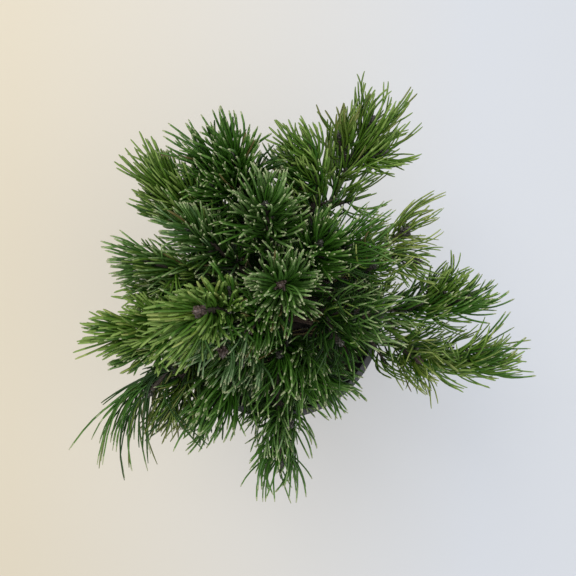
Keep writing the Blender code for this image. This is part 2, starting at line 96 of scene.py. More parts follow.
# A shoot's level is 0 for a mass's stem, 1 for a side shoot, 2 for a finer twig, 3 for an old one
Shoot = namedtuple("Shoot", "path needlesFrom bud mass number level")

massTable = {
    "centre": (214, 80, "centre", (80, 26, 150, 250, 4, 43), (200, 20, 124, 225, 24, 38)),
    "left_high": (202, 92, "sunny", (169, 47, 185, 178, 20, 46), (182, 56, 168, 215, 38, 46),
        (210, 42, 138, 285, 40, 40)),
    "far_left": (184, 86, "bright", (184, 98, 122, 185, 64, 45), (192, 98, 102, 204, 72, 43)),
    "left": (174, 84, "mixed", (155, 101, 110, 165, 58, 44), (166, 92, 92, 182, 62, 40)),
    "upper_left_outer": (157, 92, "fresh", (129, 129, 115, 140, 55, 44),
        (137, 124, 92, 160, 70, 40)),
    "upper_left_inner": (192, 70, "pale", (133, 91, 120, 150, 45, 42)),
    "top_left": (181, 88, "deep", (104, 120, 135, 95, 36, 44), (113, 129, 116, 138, 55, 42),
        (115, 107, 122, 140, 22, 38)),
    "upper_centre": (200, 74, "centre", (94, 80, 150, 88, 20, 44)),
    "centre_right": (186, 74, "deep", (60, 64, 130, 58, 16, 42), (45, 76, 112, 30, 30, 42)),
    "top_centre": (171, 86, "fresh", (78, 131, 105, 108, 56, 44), (83, 118, 88, 80, 50, 40)),
    "top_right": (149, 108, "airy", (64, 170, 85, 62, 64, 47), (57, 155, 80, 25, 66, 45),
        (71, 149, 90, 95, 60, 45)),
    "right_upper": (163, 80, "sallow", (34, 121, 90, 40, 50, 50), (29, 84, 108, 60, 25, 44),
        (22, 118, 84, 0, 55, 46)),
    "right": (153, 106, "crisp", (5, 159, 60, 12, 76, 44), (12, 142, 66, 40, 60, 42)),
    "right_lower": (141, 118, "bright", (-12, 181, 50, -4, 74, 44), (-9, 168, 56, 22, 66, 44),
        (-17, 122, 54, -34, 66, 40)),
    "centre_east": (190, 74, "dim", (2, 78, 105, 10, 34, 42), (-20, 52, 100, -30, 30, 40)),
    "front": (164, 62, "deep", (-65, 56, 60, -72, 46, 46), (-50, 78, 44, -38, 66, 42),
        (-84, 28, 88, -90, 30, 42)),
    "bottom": (145, 80, "cool", (-88, 122, 45, -84, 64, 46), (-83, 90, 48, -55, 52, 42)),
    "lower_left": (148, 78, "drab", (211, 119, 70, 236, 78, 62), (221, 116, 56, 246, 84, 58)),
    "lower_left_mid": (172, 72, "deep", (236, 78, 75, 248, 50, 43), (233, 100, 58, 226, 66, 42),
        (232, 42, 98, 240, 28, 38)),
}
masses = {name: Mass(leavesAt, needled, kind, [Bud(*bud) for bud in buds])
          for name, (leavesAt, needled, kind, *buds) in massTable.items()}
middleMass = "centre"

# Greens of the needles at their foot, along their body and at their end, dealt out by spray. The darker
# foot is painted shade, and the lighter end is painted light, partly the needle's own paler end.
greens = {
    "shade": ((0.004, 0.013, 0.002), (0.011, 0.037, 0.004), (0.021, 0.054, 0.008)),
    "pine": ((0.009, 0.035, 0.003), (0.030, 0.095, 0.008), (0.086, 0.172, 0.034)),
    "frosted": ((0.012, 0.041, 0.004), (0.043, 0.112, 0.016), (0.170, 0.258, 0.092)),
    "bluish": ((0.012, 0.042, 0.008), (0.044, 0.112, 0.026), (0.160, 0.248, 0.112)),
    "fern": ((0.012, 0.042, 0.003), (0.048, 0.116, 0.011), (0.146, 0.226, 0.050)),
    "leaf": ((0.019, 0.059, 0.004), (0.064, 0.140, 0.013), (0.168, 0.250, 0.056)),
    "olive": ((0.034, 0.068, 0.006), (0.100, 0.162, 0.019), (0.240, 0.292, 0.080)),
    "tawny": ((0.022, 0.057, 0.005), (0.072, 0.130, 0.014), (0.136, 0.156, 0.042)),
    "straw": ((0.050, 0.042, 0.014), (0.115, 0.096, 0.032), (0.155, 0.128, 0.048)),
}
# Greens that the sprays of a mass take: one for each main shoot, then one for its finer twigs. The
# darkest green, shade, is painted shade for needles deep in the crown: it goes often to the finer twigs,
# always to the old shoots, and to whole shoots where the crown lies in shade (dim, dusky).
dealings = {
    "deep": ("pine", "pine", "pine", "shade"),
    "dim": ("shade", "shade", "pine", "shade"),
    "mixed": ("frosted", "leaf", "frosted", "leaf"),
    "dusky": ("frosted", "leaf", "frosted", "shade"),
    "cool": ("pine", "frosted", "bluish", "shade"),
    "pale": ("frosted", "bluish", "frosted", "pine"),
    "curly": ("bluish", "frosted", "bluish", "shade"),
    "centre": ("frosted", "pine", "pine", "pine"),
    "fresh": ("leaf", "pine", "leaf", "pine"),
    "crisp": ("pine", "leaf", "pine", "leaf"),
    "sallow": ("olive", "frosted", "leaf", "leaf"),
    "airy": ("leaf", "leaf", "tawny", "leaf"),
    "sunny": ("fern", "leaf", "olive", "pine"),
    "bright": ("leaf", "pine", "olive", "leaf"),
    "drab": ("pine", "tawny", "shade", "shade"),
    "old": ("shade", "shade", "shade", "shade"),
}
# What sets some masses apart. A number holds what differs for one shoot.
# full, longer, thick, curly: the needles' number, length, thickness and bends, against plain ones
# out: how far they stand out of the solid's box
# claw: how much wider they start and then close in; spreadAtBud: their angle at the bud (degrees)
# foot, end: which way they point there (heading, rise, strength); fan: how much the end's varies
# shorter: the heading away from which they are shorter, and by how much
# bare: the bare share of the shoot's foot; further: how much further the shoots go
# old: where old short shoots begin on the bough (share), and how far apart they are
# budSize, budGap: the bud's size, and how far from its end the needles stop
# greens: which greens the shoot takes
habits = {
    "lower_left": {"full": 0.35, "longer": 1.5, "thick": 0.8, "out": 28 * mm, "curly": 1.5,
        "foot": (178, 0.0, 1.8), "end": (253, -0.25, 2.6), "fan": 24, "old": (0.2, 5 * mm),
        "budSize": 0.7,
        1: {"full": 1.0, "longer": 0.72, "curly": 2.8, "claw": 30, "foot": (200, 0.2, 0.2),
            "end": (245, 0, 0.6)}},
    "bottom": {"full": 0.8, "longer": 1.02, "thick": 0.86, "curly": 2.7, "claw": 22,
        "spreadAtBud": 54, "foot": (245, 0, 0.15), "end": (230, -0.2, 0.42)},
    "right": {"full": 0.82, "thick": 0.84, "curly": 1.6, "claw": 10, "foot": (-60, 0.1, 0.4),
        "end": (66, 0.1, 0.75), "fan": 22, "shorter": (0, 0.15),
        1: {"longer": 0.82}},
    "right_lower": {"full": 0.72, "longer": 1.12, "thick": 0.8, "curly": 1.8, "claw": 14,
        "foot": (-78, 0, 0.65), "end": (58, 0.1, 0.85), "fan": 24,
        2: {"full": 1.0, "thick": 0.7, "curly": 2.8, "out": 16 * mm, "claw": 22, "foot": (0, 0, 0),
            "end": (-68, 0, 0.35)}},
    "top_right": {"full": 0.74, "longer": 1.12, "thick": 0.9, "out": 10 * mm, "curly": 1.9,
        "claw": 14, "end": (68, 0.0, 0.32), "bare": 0.15, "old": (0.35, 5 * mm),
        1: {"longer": 0.96, "thick": 0.76, "bare": 0, "end": (50, 0, 0.2)},
        2: {"longer": 0.92, "bare": 0.3}},
    "right_upper": {"full": 0.62, "longer": 1.02, "thick": 0.72, "curly": 2.8, "claw": 38,
        "end": (40, 0.1, 0.15),
        0: {"full": 0.5, "longer": 1.0, "claw": 22, "foot": (100, 0.1, 0.7), "end": (-4, 0.1, 1.1),
            "fan": 30},
        1: {"end": (100, 0.1, 0.35)},
        2: {"longer": 0.7}},
    "top_centre": {"full": 0.66, "curly": 1.6, "claw": 8,
        0: {"full": 1.0, "longer": 1.08, "claw": 20, "out": 24 * mm, "foot": (180, 0, 0.4),
            "end": (180, 0.05, 0.55), "shorter": (185, 0.35)}},
    "centre_east": {"full": 0.62, "longer": 1.08, "thick": 0.86, "curly": 2.4, "claw": 28,
        0: {"greens": "dusky", "full": 0.8, "thick": 0.8, "curly": 3.0, "claw": 36}},
    "centre_right": {"full": 0.9,
        1: {"full": 0.85, "longer": 1.38, "thick": 0.76, "out": 22 * mm, "curly": 1.7,
            "end": (46, 0, 0.45)}},
    "lower_left_mid": {"full": 0.85, "longer": 1.1, "curly": 1.9, "claw": 22, "foot": (228, 0, 0.2),
        "end": (240, -0.05, 0.35), "old": (0.3, 7 * mm),
        0: {"longer": 1.18, "end": (262, -0.05, 0.35)},
        2: {"greens": "curly", "curly": 2.8, "full": 0.65, "claw": 34}},
    "front": {"full": 0.72, "longer": 1.1, "out": 10 * mm, "curly": 2.0, "claw": 16,
        "foot": (280, 0, 0.1), "end": (280, -0.1, 0.35), "old": (0.4, 8 * mm),
        1: {"longer": 0.88},
        2: {"full": 1.0, "longer": 1.5, "end": (256, -0.1, 0.5)}},
    "far_left": {"full": 1.4, "thick": 1.08, "out": 18 * mm, "curly": 1.4, "spreadAtBud": 26,
        "foot": (172, 0, 0.15), "end": (168, 0.0, 0.2), "further": 10 * mm,
        1: {"longer": 0.78}},
    "left": {"full": 1.1, "longer": 1.1, "out": 12 * mm, "curly": 1.5, "further": 4 * mm,
        "foot": (200, 0, 0.15), "end": (200, 0, 0.15), "shorter": (200, 0.3)},
    "upper_left_outer": {"full": 1.2, "longer": 1.12, "out": 16 * mm, "end": (108, 0, 0.3),
        1: {"longer": 0.76, "end": (115, 0, 0.5)}},
    "top_left": {"full": 1.2, "longer": 1.06, "out": 10 * mm, "curly": 1.2},
    "left_high": {"full": 0.92, "thick": 1.22, "budGap": 7 * mm, "spreadAtBud": 46,
        "foot": (205, 0.0, 0.2), "end": (205, 0.0, 0.12), "shorter": (200, 0.5),
        2: {"greens": "curly", "curly": 3.0, "full": 0.6, "thick": 1.0, "claw": 36,
            "foot": (0, 0, 0), "end": (0, 0, 0), "shorter": (0, 0)}},
    "centre": {"spreadAtBud": 34, "thick": 1.08},
}


def habit(shoot, key, plain):
    own = habits.get(shoot.mass, {})
    return own.get(shoot.number, {}).get(key, own.get(key, plain))


# Node trees
class Wire:
    # A socket of a node tree. Sums on wires add Math nodes to the tree.
    def __init__(self, board, socket):
        self.board = board
        self.socket = socket

    def sum(self, operation, first, second):
        return self.board.add("ShaderNodeMath", {"operation": operation}, {0: first, 1: second})

    def __add__(self, other):
        return self.sum("ADD", self, other)

    def __radd__(self, other):
        return self.sum("ADD", other, self)

    def __sub__(self, other):
        return self.sum("SUBTRACT", self, other)

    def __mul__(self, other):
        return self.sum("MULTIPLY", self, other)

    def __gt__(self, other):
        return self.sum("GREATER_THAN", self, other)

    def __lt__(self, other):
        return self.sum("LESS_THAN", self, other)


class Board:
    # A node tree that is built by code
    def __init__(self, tree):
        self.tree = tree

    def add(self, kind, settings=None, sockets=None, out=0):
        node = self.tree.nodes.new(kind)
        for name, value in (settings or {}).items():
            setattr(node, name, value)
        for name, value in (sockets or {}).items():
            self.plug(node.inputs[name], value)
        return Wire(self, node.outputs[out])

    def plug(self, socket, value):
        if isinstance(value, Wire):
            self.tree.links.new(value.socket, socket)
        else:
            socket.default_value = value

    def mix(self, share, first, second):
        settings = {"data_type": "RGBA"}
        return self.add("ShaderNodeMix", settings, {0: share, 6: rgba(first), 7: rgba(second)}, 2)

    def ramp(self, share, stops):
        wire = self.add("ShaderNodeValToRGB", None, {0: share})
        elements = wire.socket.node.color_ramp.elements
        while len(elements) < len(stops):
            elements.new(0.5)
        for element, (position, colour) in zip(elements, stops):
            element.position = position
            element.color = rgba(colour)
        return wire

    def named(self, name, kind="FLOAT"):
        return self.add("GeometryNodeInputNamedAttribute", {"data_type": kind}, {"Name": name})

    def paint(self, geometry, material, where=True):
        return self.add("GeometryNodeSetMaterial", None,
                        {"Geometry": geometry, "Selection": where, "Material": material})

    def realize(self, geometry):
        return self.add("GeometryNodeRealizeInstances", None, {"Geometry": geometry})


class Look(Board):
    # A material whose even values are plain. Its textures lie in the piece's own space.
    def __init__(self, name, colour, roughness, **values):
        self.material = bpy.data.materials.new(name)
        self.material.use_nodes = True
        super().__init__(self.material.node_tree)
        self.shader = self.tree.nodes["Principled BSDF"]
        self.give(Base_Color=rgba(colour), Roughness=roughness, **values)

    def give(self, **values):
        for name, value in values.items():
            self.plug(self.shader.inputs[name.replace("_", " ")], value)

    def place(self):
        return self.add("ShaderNodeTexCoord", None, None, "Object")

    def texture(self, kind, scale, **values):
        sockets = {"Vector": self.place(), "Scale": scale, **values}
        return self.add("ShaderNodeTex" + kind, None, sockets)

    def bump(self, height, strength, distance):
        sockets = {"Height": height, "Strength": strength, "Distance": distance}
        self.give(Normal=self.add("ShaderNodeBump", None, sockets))


def rgba(colour):
    return colour if isinstance(colour, Wire) else (*colour, 1)


# The named inputs that the Geometry Nodes trees take
inputKinds = {"Geometry": "Geometry", "Sides": "Int", "Scale": "Float", "Relief": "Float",
              "Shape": "Object", "Finish": "Material"}


def newModifierTree(name, labels, build):
    # A Geometry Nodes tree with named inputs, which build fills in
    tree = bpy.data.node_groups.new(name, "GeometryNodeTree")
    tree.is_modifier = True
    for label in ("Geometry", *labels):
        tree.interface.new_socket(label, in_out="INPUT", socket_type="NodeSocket" + inputKinds[label])
    tree.interface.new_socket("Geometry", in_out="OUTPUT", socket_type="NodeSocketGeometry")
    board = Board(tree)
    group = tree.nodes.new("NodeGroupInput")
    inputs = {socket.name: Wire(board, socket) for socket in group.outputs if socket.name}
    result = build(board, inputs)
    end = tree.nodes.new("NodeGroupOutput")
    tree.links.new(result.socket, end.inputs["Geometry"])
    return tree


# Pieces and meshes
def link(name, data):
    piece = bpy.data.objects.new(name, data)
    bpy.context.scene.collection.objects.link(piece)
    return piece


def remove(piece):
    bpy.data.objects.remove(piece, do_unlink=True)


def settledMesh(piece):
    # What the piece's modifiers make
    depsgraph = bpy.context.evaluated_depsgraph_get()
    return bpy.data.meshes.new_from_object(piece.evaluated_get(depsgraph))


def settle(piece):
    mesh = settledMesh(piece)
    piece.modifiers.clear()
    piece.data = mesh


def grow(name, mesh, tree, sizes):
    # Runs a tree on a mesh and keeps what it makes as a plain mesh
    source = link(name + "Source", mesh)
    modifier = source.modifiers.new("Grow", "NODES")
    modifier.node_group = tree
    for item in tree.interface.items_tree:
        if item.in_out == "INPUT" and item.name in sizes:
            modifier[item.identifier] = sizes[item.name]
    made = settledMesh(source)
    made.name = name
    source.modifiers.remove(modifier)
    remove(source)
    return link(name, made)


def meshOf(name, shape):
    # Keeps a bmesh as a mesh
    mesh = bpy.data.meshes.new(name)
    shape.to_mesh(mesh)
    shape.free()
    return mesh


def writeAttribute(mesh, label, values, kind="FLOAT", field="value"):
    attribute = mesh.attributes.new(label, kind, "POINT")
    attribute.data.foreach_set(field, np.array(values, np.float32).reshape(-1))


def smooth(piece, angle):
    piece.data.shade_smooth()
    piece.data.set_sharp_from_angle(angle=math.radians(angle))


# Paths, as in the solids
def polar(bearing, reach, height):
    angle = math.radians(bearing)
    return np.array([reach * math.cos(angle), reach * math.sin(angle), height])


def pointing(heading, lean):
    tilt = math.radians(lean)
    return polar(heading, math.sin(tilt), math.cos(tilt))


def unit(vectors):
    vectors = np.asarray(vectors, float)
    return vectors / np.linalg.norm(vectors, axis=-1, keepdims=True)


def bezier(start, first, second, end, count=60):
    t = np.linspace(0, 1, count)[:, None]
    s = 1 - t
    return s**3 * start + 3 * s**2 * t * first + 3 * s * t**2 * second + t**3 * end


def lengthAlong(path):
    steps = np.linalg.norm(np.diff(path, axis=0), axis=1)
    return np.concatenate([[0], np.cumsum(steps)])


def pointsAt(path, spots):
    along = lengthAlong(path)
    return np.stack([np.interp(spots, along, path[:, axis]) for axis in range(3)], axis=-1)


def tangentsAt(path, spots):
    middle = np.clip(spots, mm, lengthAlong(path)[-1] - mm)
    return unit(pointsAt(path, middle + mm) - pointsAt(path, middle - mm))


def around(directions, turns):
    # A direction square to each one, turned round it. A steep one is measured from +X.
    steep = np.abs(directions[..., 2:3]) >= 0.9
    first = unit(np.cross(directions, np.where(steep, [1.0, 0, 0], [0.0, 0, 1])))
    second = np.cross(directions, first)
    turns = np.asarray(turns)[..., None]
    return np.cos(turns) * first + np.sin(turns) * second


def trunkPath():
    t = trunkSizes
    foot = np.array([0, 0, potSizes["soilTop"] + t["footGap"]])
    lean = np.array([t["leanX"], t["leanY"], 0])
    rise = np.array([0, 0, t["top"] - foot[2]])
    bend = foot + rise * 2 / 3 + lean * t["bend"]
    return bezier(foot, foot + rise / 3, bend, foot + rise + lean)


def trunkRadius(height):
    t = trunkSizes
    share = np.clip(height / (t["top"] - potSizes["soilTop"]), 0, 1)
    taper = t["footRadius"] + (t["tipRadius"] - t["footRadius"]) * share
    return taper + t["flareSize"] * np.exp(-height / t["flareHeight"])


def budPlace(bud):
    return polar(bud.bearing, bud.reach * mm, potSizes["height"] + bud.rise * mm)


def leadingPath(name):
    mass = masses[name]
    end = budPlace(mass.buds[0])
    upward = pointing(mass.buds[0].heading, mass.buds[0].lean)
    spine = trunkPath()
    if name == middleMass:
        ahead = tangentsAt(spine, lengthAlong(spine)[-1])
        reach = boughSizes["leaderSweep"]
        return bezier(spine[-1], spine[-1] + ahead * reach, end - upward * reach, end)
    foot = pointsAt(spine, mass.leavesAt * mm - potSizes["soilTop"])
    span = end - foot
    reach = np.linalg.norm(span)
    climb = boughSizes["climb"] * max(span[2], 0) / reach + boughSizes["lift"]
    outward = unit(unit([span[0], span[1], 0]) + np.array([0, 0, climb]))
    sweep = reach * boughSizes["sweep"]
    return bezier(foot, foot + outward * sweep, end - upward * sweep, end)


def sidePath(stem, bud, low, high):
    end = budPlace(bud)
    upward = pointing(bud.heading, bud.lean)
    spots = np.linspace(low, high, twigSizes["forkTries"])
    feet = pointsAt(stem, spots)
    aheads = tangentsAt(stem, spots)
    opening = np.sum(aheads * unit(end - feet), axis=1)
    turns = np.degrees(np.arccos(np.clip(opening, -1, 1)))
    best = int(np.argmin(np.abs(turns - twigSizes["forkAngle"])))
    sweep = np.linalg.norm(end - feet[best]) * twigSizes["sideSweep"]
    return bezier(feet[best], feet[best] + aheads[best] * sweep, end - upward * sweep, end)


# Finer twigs, which the solids leave out
fineTwigs = {
    "every": 11 * mm, "to": 0.70, "angle": 46, "angleJitter": 9, "length": 0.34,
    "lengthJitter": 0.25, "least": 11 * mm, "most": 28 * mm, "tipUp": 0.12, "up": 0.25,
    "sweepOut": 0.35, "sweepIn": 0.3, "points": 16, "bareFoot": 3 * mm, "needle": 0.80,
    "axisSpots": 12, "spaceOverlap": 12 * mm,
}


def goFurther(path, length):
    end = path[-1] + tangentsAt(path, lengthAlong(path)[-1]) * length
    return np.vstack([path, end]) if length > 0 else path


def planShoots(rng):
    # The shoots of each mass: its own stem, its side shoots and then their finer twigs
    plan = {}
    bare = twigSizes["bareFoot"]
    for name, mass in masses.items():
        path = leadingPath(name)
        total = lengthAlong(path)[-1]
        split = 0 if name == middleMass else max(total - mass.needled * mm, boughSizes["least"])
        further = habits.get(name, {}).get("further", 0)
        path = goFurther(path, further)
        shoots = [Shoot(path, split + bare, mass.buds[0], name, 0, 0)]
        for number, bud in enumerate(mass.buds[1:], 1):
            side = sidePath(path, bud, split + bare, total - 2 * twigSizes["budLength"])
            shoots.append(Shoot(goFurther(side, further), bare, bud, name, number, 1))
        plan[name] = (path, split, shoots)
    axes = []
    owners = []
    for name, (path, split, shoots) in plan.items():
        for shoot in shoots:
            end = lengthAlong(shoot.path)[-1]
            axes.append(pointsAt(shoot.path, np.linspace(shoot.needlesFrom, end, fineTwigs["axisSpots"])))
            owners += [name] * fineTwigs["axisSpots"]
    axes = np.concatenate(axes)
    owners = np.array(owners)
    for name, (path, split, shoots) in plan.items():
        for shoot in list(shoots):
            shoots += finerShoots(shoot, rng, axes, owners)
        shoots += innerShoots(name, path, split, rng)
    return plan


def finerShoots(shoot, rng, axes, owners):
    # Short twigs leave a shoot by the golden angle, and keep to the space of its mass
    f = fineTwigs
    begin = shoot.needlesFrom
    end = lengthAlong(shoot.path)[-1]
    needled = end - begin
    phase = rng.uniform(0, math.tau)
    found = []
    bare = habit(shoot, "bare", 0)
    count = round(needled * (f["to"] - bare) / f["every"] * habit(shoot, "full", 1))
    for step in range(count):
        spot = begin + needled * (bare + (f["to"] - bare) * (step + 0.5) / count)
        foot = pointsAt(shoot.path, spot)
        ahead = tangentsAt(shoot.path, spot)
        outward = around(ahead, phase + goldenAngle * step)
        angle = math.radians(f["angle"] + rng.uniform(-1, 1) * f["angleJitter"])
        aim = math.cos(angle) * ahead + math.sin(angle) * outward
        length = (end - spot) * f["length"] * (1 + rng.uniform(-1, 1) * f["lengthJitter"])
        length = min(max(length, f["least"]), f["most"])
        tip = foot + unit(aim + np.array([0, 0, f["tipUp"]])) * length
        away = np.linalg.norm(axes - tip, axis=1)
        own = owners == shoot.mass
        if away[own].min() > away[~own].min() + f["spaceOverlap"]:
            continue
        rising = unit(aim + np.array([0, 0, f["up"]]))
        path = bezier(foot, foot + aim * length * f["sweepOut"], tip - rising * length * f["sweepIn"],
                      tip, f["points"])
        bud = shoot.bud._replace(needle=shoot.bud.needle * f["needle"])
        found.append(Shoot(path, f["bareFoot"], bud, shoot.mass, shoot.number, 2))
    return found


# Old short shoots on the bare foot of each bough, deep in the crown. Their needles take only shade, the
# painted-shade green.
innerTwigs = {"old": (0.45, 10 * mm), "spots": (0.3, 0.7), "length": 15 * mm, "lengths": (0.7, 1.2),
              "angle": 55, "up": 0.25, "points": 8, "bareFoot": 2 * mm, "needle": 0.80}


def innerShoots(name, path, split, rng):
    f = innerTwigs
    found = []
    begin, every = habits.get(name, {}).get("old", f["old"])
    angle = math.radians(f["angle"])
    bud = masses[name].buds[0]
    bud = bud._replace(needle=bud.needle * f["needle"])
    for step in range(int(split * (1 - begin) / every)):
        spot = split * begin + every * (step + rng.uniform(*f["spots"]))
        foot = pointsAt(path, spot)
        ahead = tangentsAt(path, spot)
        outward = around(ahead, goldenAngle * step + len(name))
        aim = unit(math.cos(angle) * ahead + math.sin(angle) * outward + np.array([0, 0, f["up"]]))
        tip = foot + aim * f["length"] * rng.uniform(*f["lengths"])
        straight = bezier(foot, foot * 0.67 + tip * 0.33, foot * 0.33 + tip * 0.67, tip, f["points"])
        found.append(Shoot(straight, f["bareFoot"], bud, name, 0, 3))
    return found


# Needles: each is a spine with its thickness, which a tree sweeps into a solid
needleSizes = {
    "step": 1.08 * mm, "fineStep": 1.60 * mm, "fewest": 6, "gather": 0.72, "turnJitter": 0.35,
    "spreadAtFoot": 56, "spreadAtBud": 28, "fall": 1.3, "jitter": 9, "clawJitter": 0.2, "twist": 0.8,
    "lengths": (0.74, 1.06), "least": 0.90, "fullestAt": 0.7, "rootOut": 0.8 * mm,
    "opening": 0.10, "openings": (0.6, 1.5), "curl": 0.36, "curls": (0.0, 1.8), "clawCloses": 1.3,
    "sideways": 0.26, "tipJitter": 0.06, "lift": 0.05, "middle": 0.47, "reaches": (0.94, 1.03),
    "waves": 0.8, "wave": 1.1 * mm, "radius": 1.02 * mm, "radii": (0.85, 1.12), "sides": 3,
    "budGap": 3.5 * mm, "outTo": 7 * mm, "innerOutTo": 40 * mm, "trims": 2, "trim": 0.84,
    "rimClear": 2 * mm, "boreClear": 4 * mm, "soilClear": 6 * mm,
    "otherGreens": 0.12, "straws": 0.006, "roughness": 0.40, "specular": 0.22,
    # partsFrom: where the painted-shade foot, the body, and the painted-light upper part and end begin
    # along a needle
    "partsFrom": (0.23, 0.53, 0.80), "upperToEnd": 0.2, "sheathTo": 0.05,
    # tipFrom and tipped: the pale tips of the greens from pine to bluish, partly the needle's own and
    # partly a painted highlight
    "tipFrom": 0.96, "tipped": ("pine", "bluish"),
}
needleShares = np.array([0, 0.05, 0.17, 0.30, 0.43, 0.56, 0.69, 0.82, 0.95, 1.0])
needleShape = np.array([0.70, 0.80, 0.94, 1.0, 1.0, 1.0, 0.98, 0.94, 0.80, 0.45])


def needleSpines(shoot, rng, box):
    # The spines of one shoot's needles, two from each sheath
    n = needleSizes
    end = lengthAlong(shoot.path)[-1] - habit(shoot, "budGap", n["budGap"])
    bare = habit(shoot, "bare", 0) if shoot.level < 2 else 0
    begin = shoot.needlesFrom + (end - shoot.needlesFrom) * bare
    step = n["fineStep"] if shoot.level > 1 else n["step"]
    count = max(n["fewest"], int((end - begin) / step * habit(shoot, "full", 1)))
    index = np.arange(count)
    share = ((index + 0.5) / count) ** n["gather"]
    spot = begin + (end - begin) * share
    ahead = tangentsAt(shoot.path, spot)
    turn = rng.uniform(0, math.tau) + goldenAngle * index + rng.normal(0, n["turnJitter"], count)
    outward = around(ahead, turn)
    narrow = habit(shoot, "spreadAtBud", n["spreadAtBud"])
    spread = n["spreadAtFoot"] + (narrow - n["spreadAtFoot"]) * share ** n["fall"]
    claw = habit(shoot, "claw", 0)
    spread = np.radians(spread + claw + rng.normal(0, n["jitter"] + claw * n["clawJitter"], count))
    aim = np.cos(spread)[:, None] * ahead + np.sin(spread)[:, None] * outward
    heading, rise, strength = habit(shoot, "foot", (0, 0, 0))
    aim = unit(aim + polar(heading, 1, rise) * strength)
    heading, rise, strength = habit(shoot, "end", (0, 0, 0))
    fan = rng.normal(0, 1, count) * habit(shoot, "fan", 0)
    comb = np.stack([polar(heading + more, 1, rise) * strength for more in fan])
    side = unit(np.cross(ahead, aim))
    twist = rng.uniform(-n["twist"], n["twist"], count)[:, None]
    apart = unit(side * np.cos(twist) + np.cross(side, aim) * np.sin(twist))
    length = shoot.bud.needle * mm * habit(shoot, "longer", 1)
    length = length * rng.uniform(*n["lengths"], count)
    length *= n["least"] + (1 - n["least"]) * np.sin(np.pi * share ** n["fullestAt"])
    heading, less = habit(shoot, "shorter", (0, 0))
    length *= 1 - less * (1 - aim @ polar(heading, 1, 0)) / 2
    root = pointsAt(shoot.path, spot) + outward * n["rootOut"]
    curly = habit(shoot, "curly", 1)
    bow = side * n["sideways"] * curly * rng.normal(0, 1, count)[:, None]
    closed = math.radians(claw) * n["clawCloses"]
    t = needleShares[None, :, None]
    spines = []
    for way in (-1, 1):
        away = aim + apart * way * n["opening"] * rng.uniform(*n["openings"], count)[:, None]
        closing = n["curl"] * curly * rng.uniform(*n["curls"], count) + closed
        bend = ahead * closing[:, None] + bow + comb
        bend = bend + np.array([0, 0, n["lift"]]) + rng.normal(0, n["tipJitter"] * curly, (count, 3))
        middle = root + unit(away) * (length * n["middle"])[:, None]
        reach = length * rng.uniform(*n["reaches"], count)
        tip = root + unit(away + bend) * reach[:, None]
        curve = (1 - t) ** 2 * root[:, None] + 2 * t * (1 - t) * middle[:, None] + t**2 * tip[:, None]
        wave = np.sin(math.tau * t * n["waves"] + rng.uniform(0, math.tau, (count, 1, 1))) * t
        spines.append(curve + wave * apart[:, None] * n["wave"] * rng.normal(0, curly, (count, 1, 1)))
    spines = np.concatenate(spines)
    outTo = habit(shoot, "out", n["outTo"]) if shoot.level < 3 else n["innerOutTo"]
    for trial in range(n["trims"]):
        # A needle that would leave its mass's space grows shorter
        outside = ~isInside(spines, box, outTo)
        foot = spines[outside, :1]
        spines[outside] = foot + (spines[outside] - foot) * n["trim"]
    blocked = nearPot(spines.reshape(-1, 3)).reshape(len(spines), -1).any(axis=1)
    return spines[isInside(spines, box, outTo) & ~blocked]


def isInside(spines, box, outTo):
    # True for needles that end in their mass's box, or close enough to it
    tips = spines[:, -1]
    return np.all((tips > box[0] - outTo) & (tips < box[1] + outTo), axis=1)


def nearPot(points):
    # True for points that are in the pot's wall or its soil
    p, n = potSizes, needleSizes
    away = np.hypot(points[:, 0], points[:, 1])
    height = points[:, 2]
    bore = p["rimRadius"] - p["rimWidth"] - n["boreClear"]
    inWall = (away > bore) & (away < p["rimRadius"] + n["rimClear"])
    return (inWall & (height < p["height"] + n["rimClear"])) | (height < p["soilTop"] + n["soilClear"])


def spineMesh(name, spines, thickness, tones):
    # One mesh of loose chains, with what the sweep needs at each point
    count, points = spines.shape[:2]
    mesh = bpy.data.meshes.new(name)
    mesh.vertices.add(count * points)
    mesh.vertices.foreach_set("co", spines.reshape(-1).astype(np.float32))
    low = (np.arange(count)[:, None] * points + np.arange(points - 1)[None, :]).reshape(-1)
    mesh.edges.add(len(low))
    mesh.edges.foreach_set("vertices", np.stack([low, low + 1], axis=1).reshape(-1).astype(np.int32))
    for label, values in (("thickness", thickness), ("tone", tones), ("share", needleShares)):
        writeAttribute(mesh, label, np.broadcast_to(values, (count, points)))
    return mesh


def buildSweep(board, inputs):
    # Sweeps each chain into a closed limb
    curve = board.add("GeometryNodeMeshToCurve", None, {"Mesh": inputs["Geometry"]})
    ring = board.add("GeometryNodeCurvePrimitiveCircle", None,
                     {"Resolution": inputs["Sides"], "Radius": 1.0})
    swept = board.add("GeometryNodeCurveToMesh", None,
                      {"Curve": curve, "Profile Curve": ring, "Scale": board.named("thickness"),
                       "Fill Caps": True})
    return board.add("GeometryNodeSetShadeSmooth", None, {"Geometry": swept})


def buildNeedles(board, inputs):
    # Each green grows lighter along the needle in four parts: the dark foot is painted shade, and the
    # lighter upper part and end are painted light, partly the needle's own paler end. Some greens also
    # have pale tips, partly a painted highlight.
    n = needleSizes
    result = buildSweep(board, inputs)
    share = board.named("share")
    tone = board.named("tone")
    part = tone * 4
    for limit in n["partsFrom"]:
        part = part + (share > limit)
    for number, material in enumerate(needleMaterials):
        chosen = board.add("FunctionNodeCompare", {"operation": "EQUAL"}, {0: part, 1: float(number)})
        result = board.paint(result, material, chosen)
    result = board.paint(result, sheathMaterial, share < n["sheathTo"])
    first, last = (list(greens).index(name) for name in n["tipped"])
    tip = (share > n["tipFrom"]) * (tone > first - 0.5) * (tone < last + 0.5)
    return board.realize(board.paint(result, tipHighlightMaterial, tip))


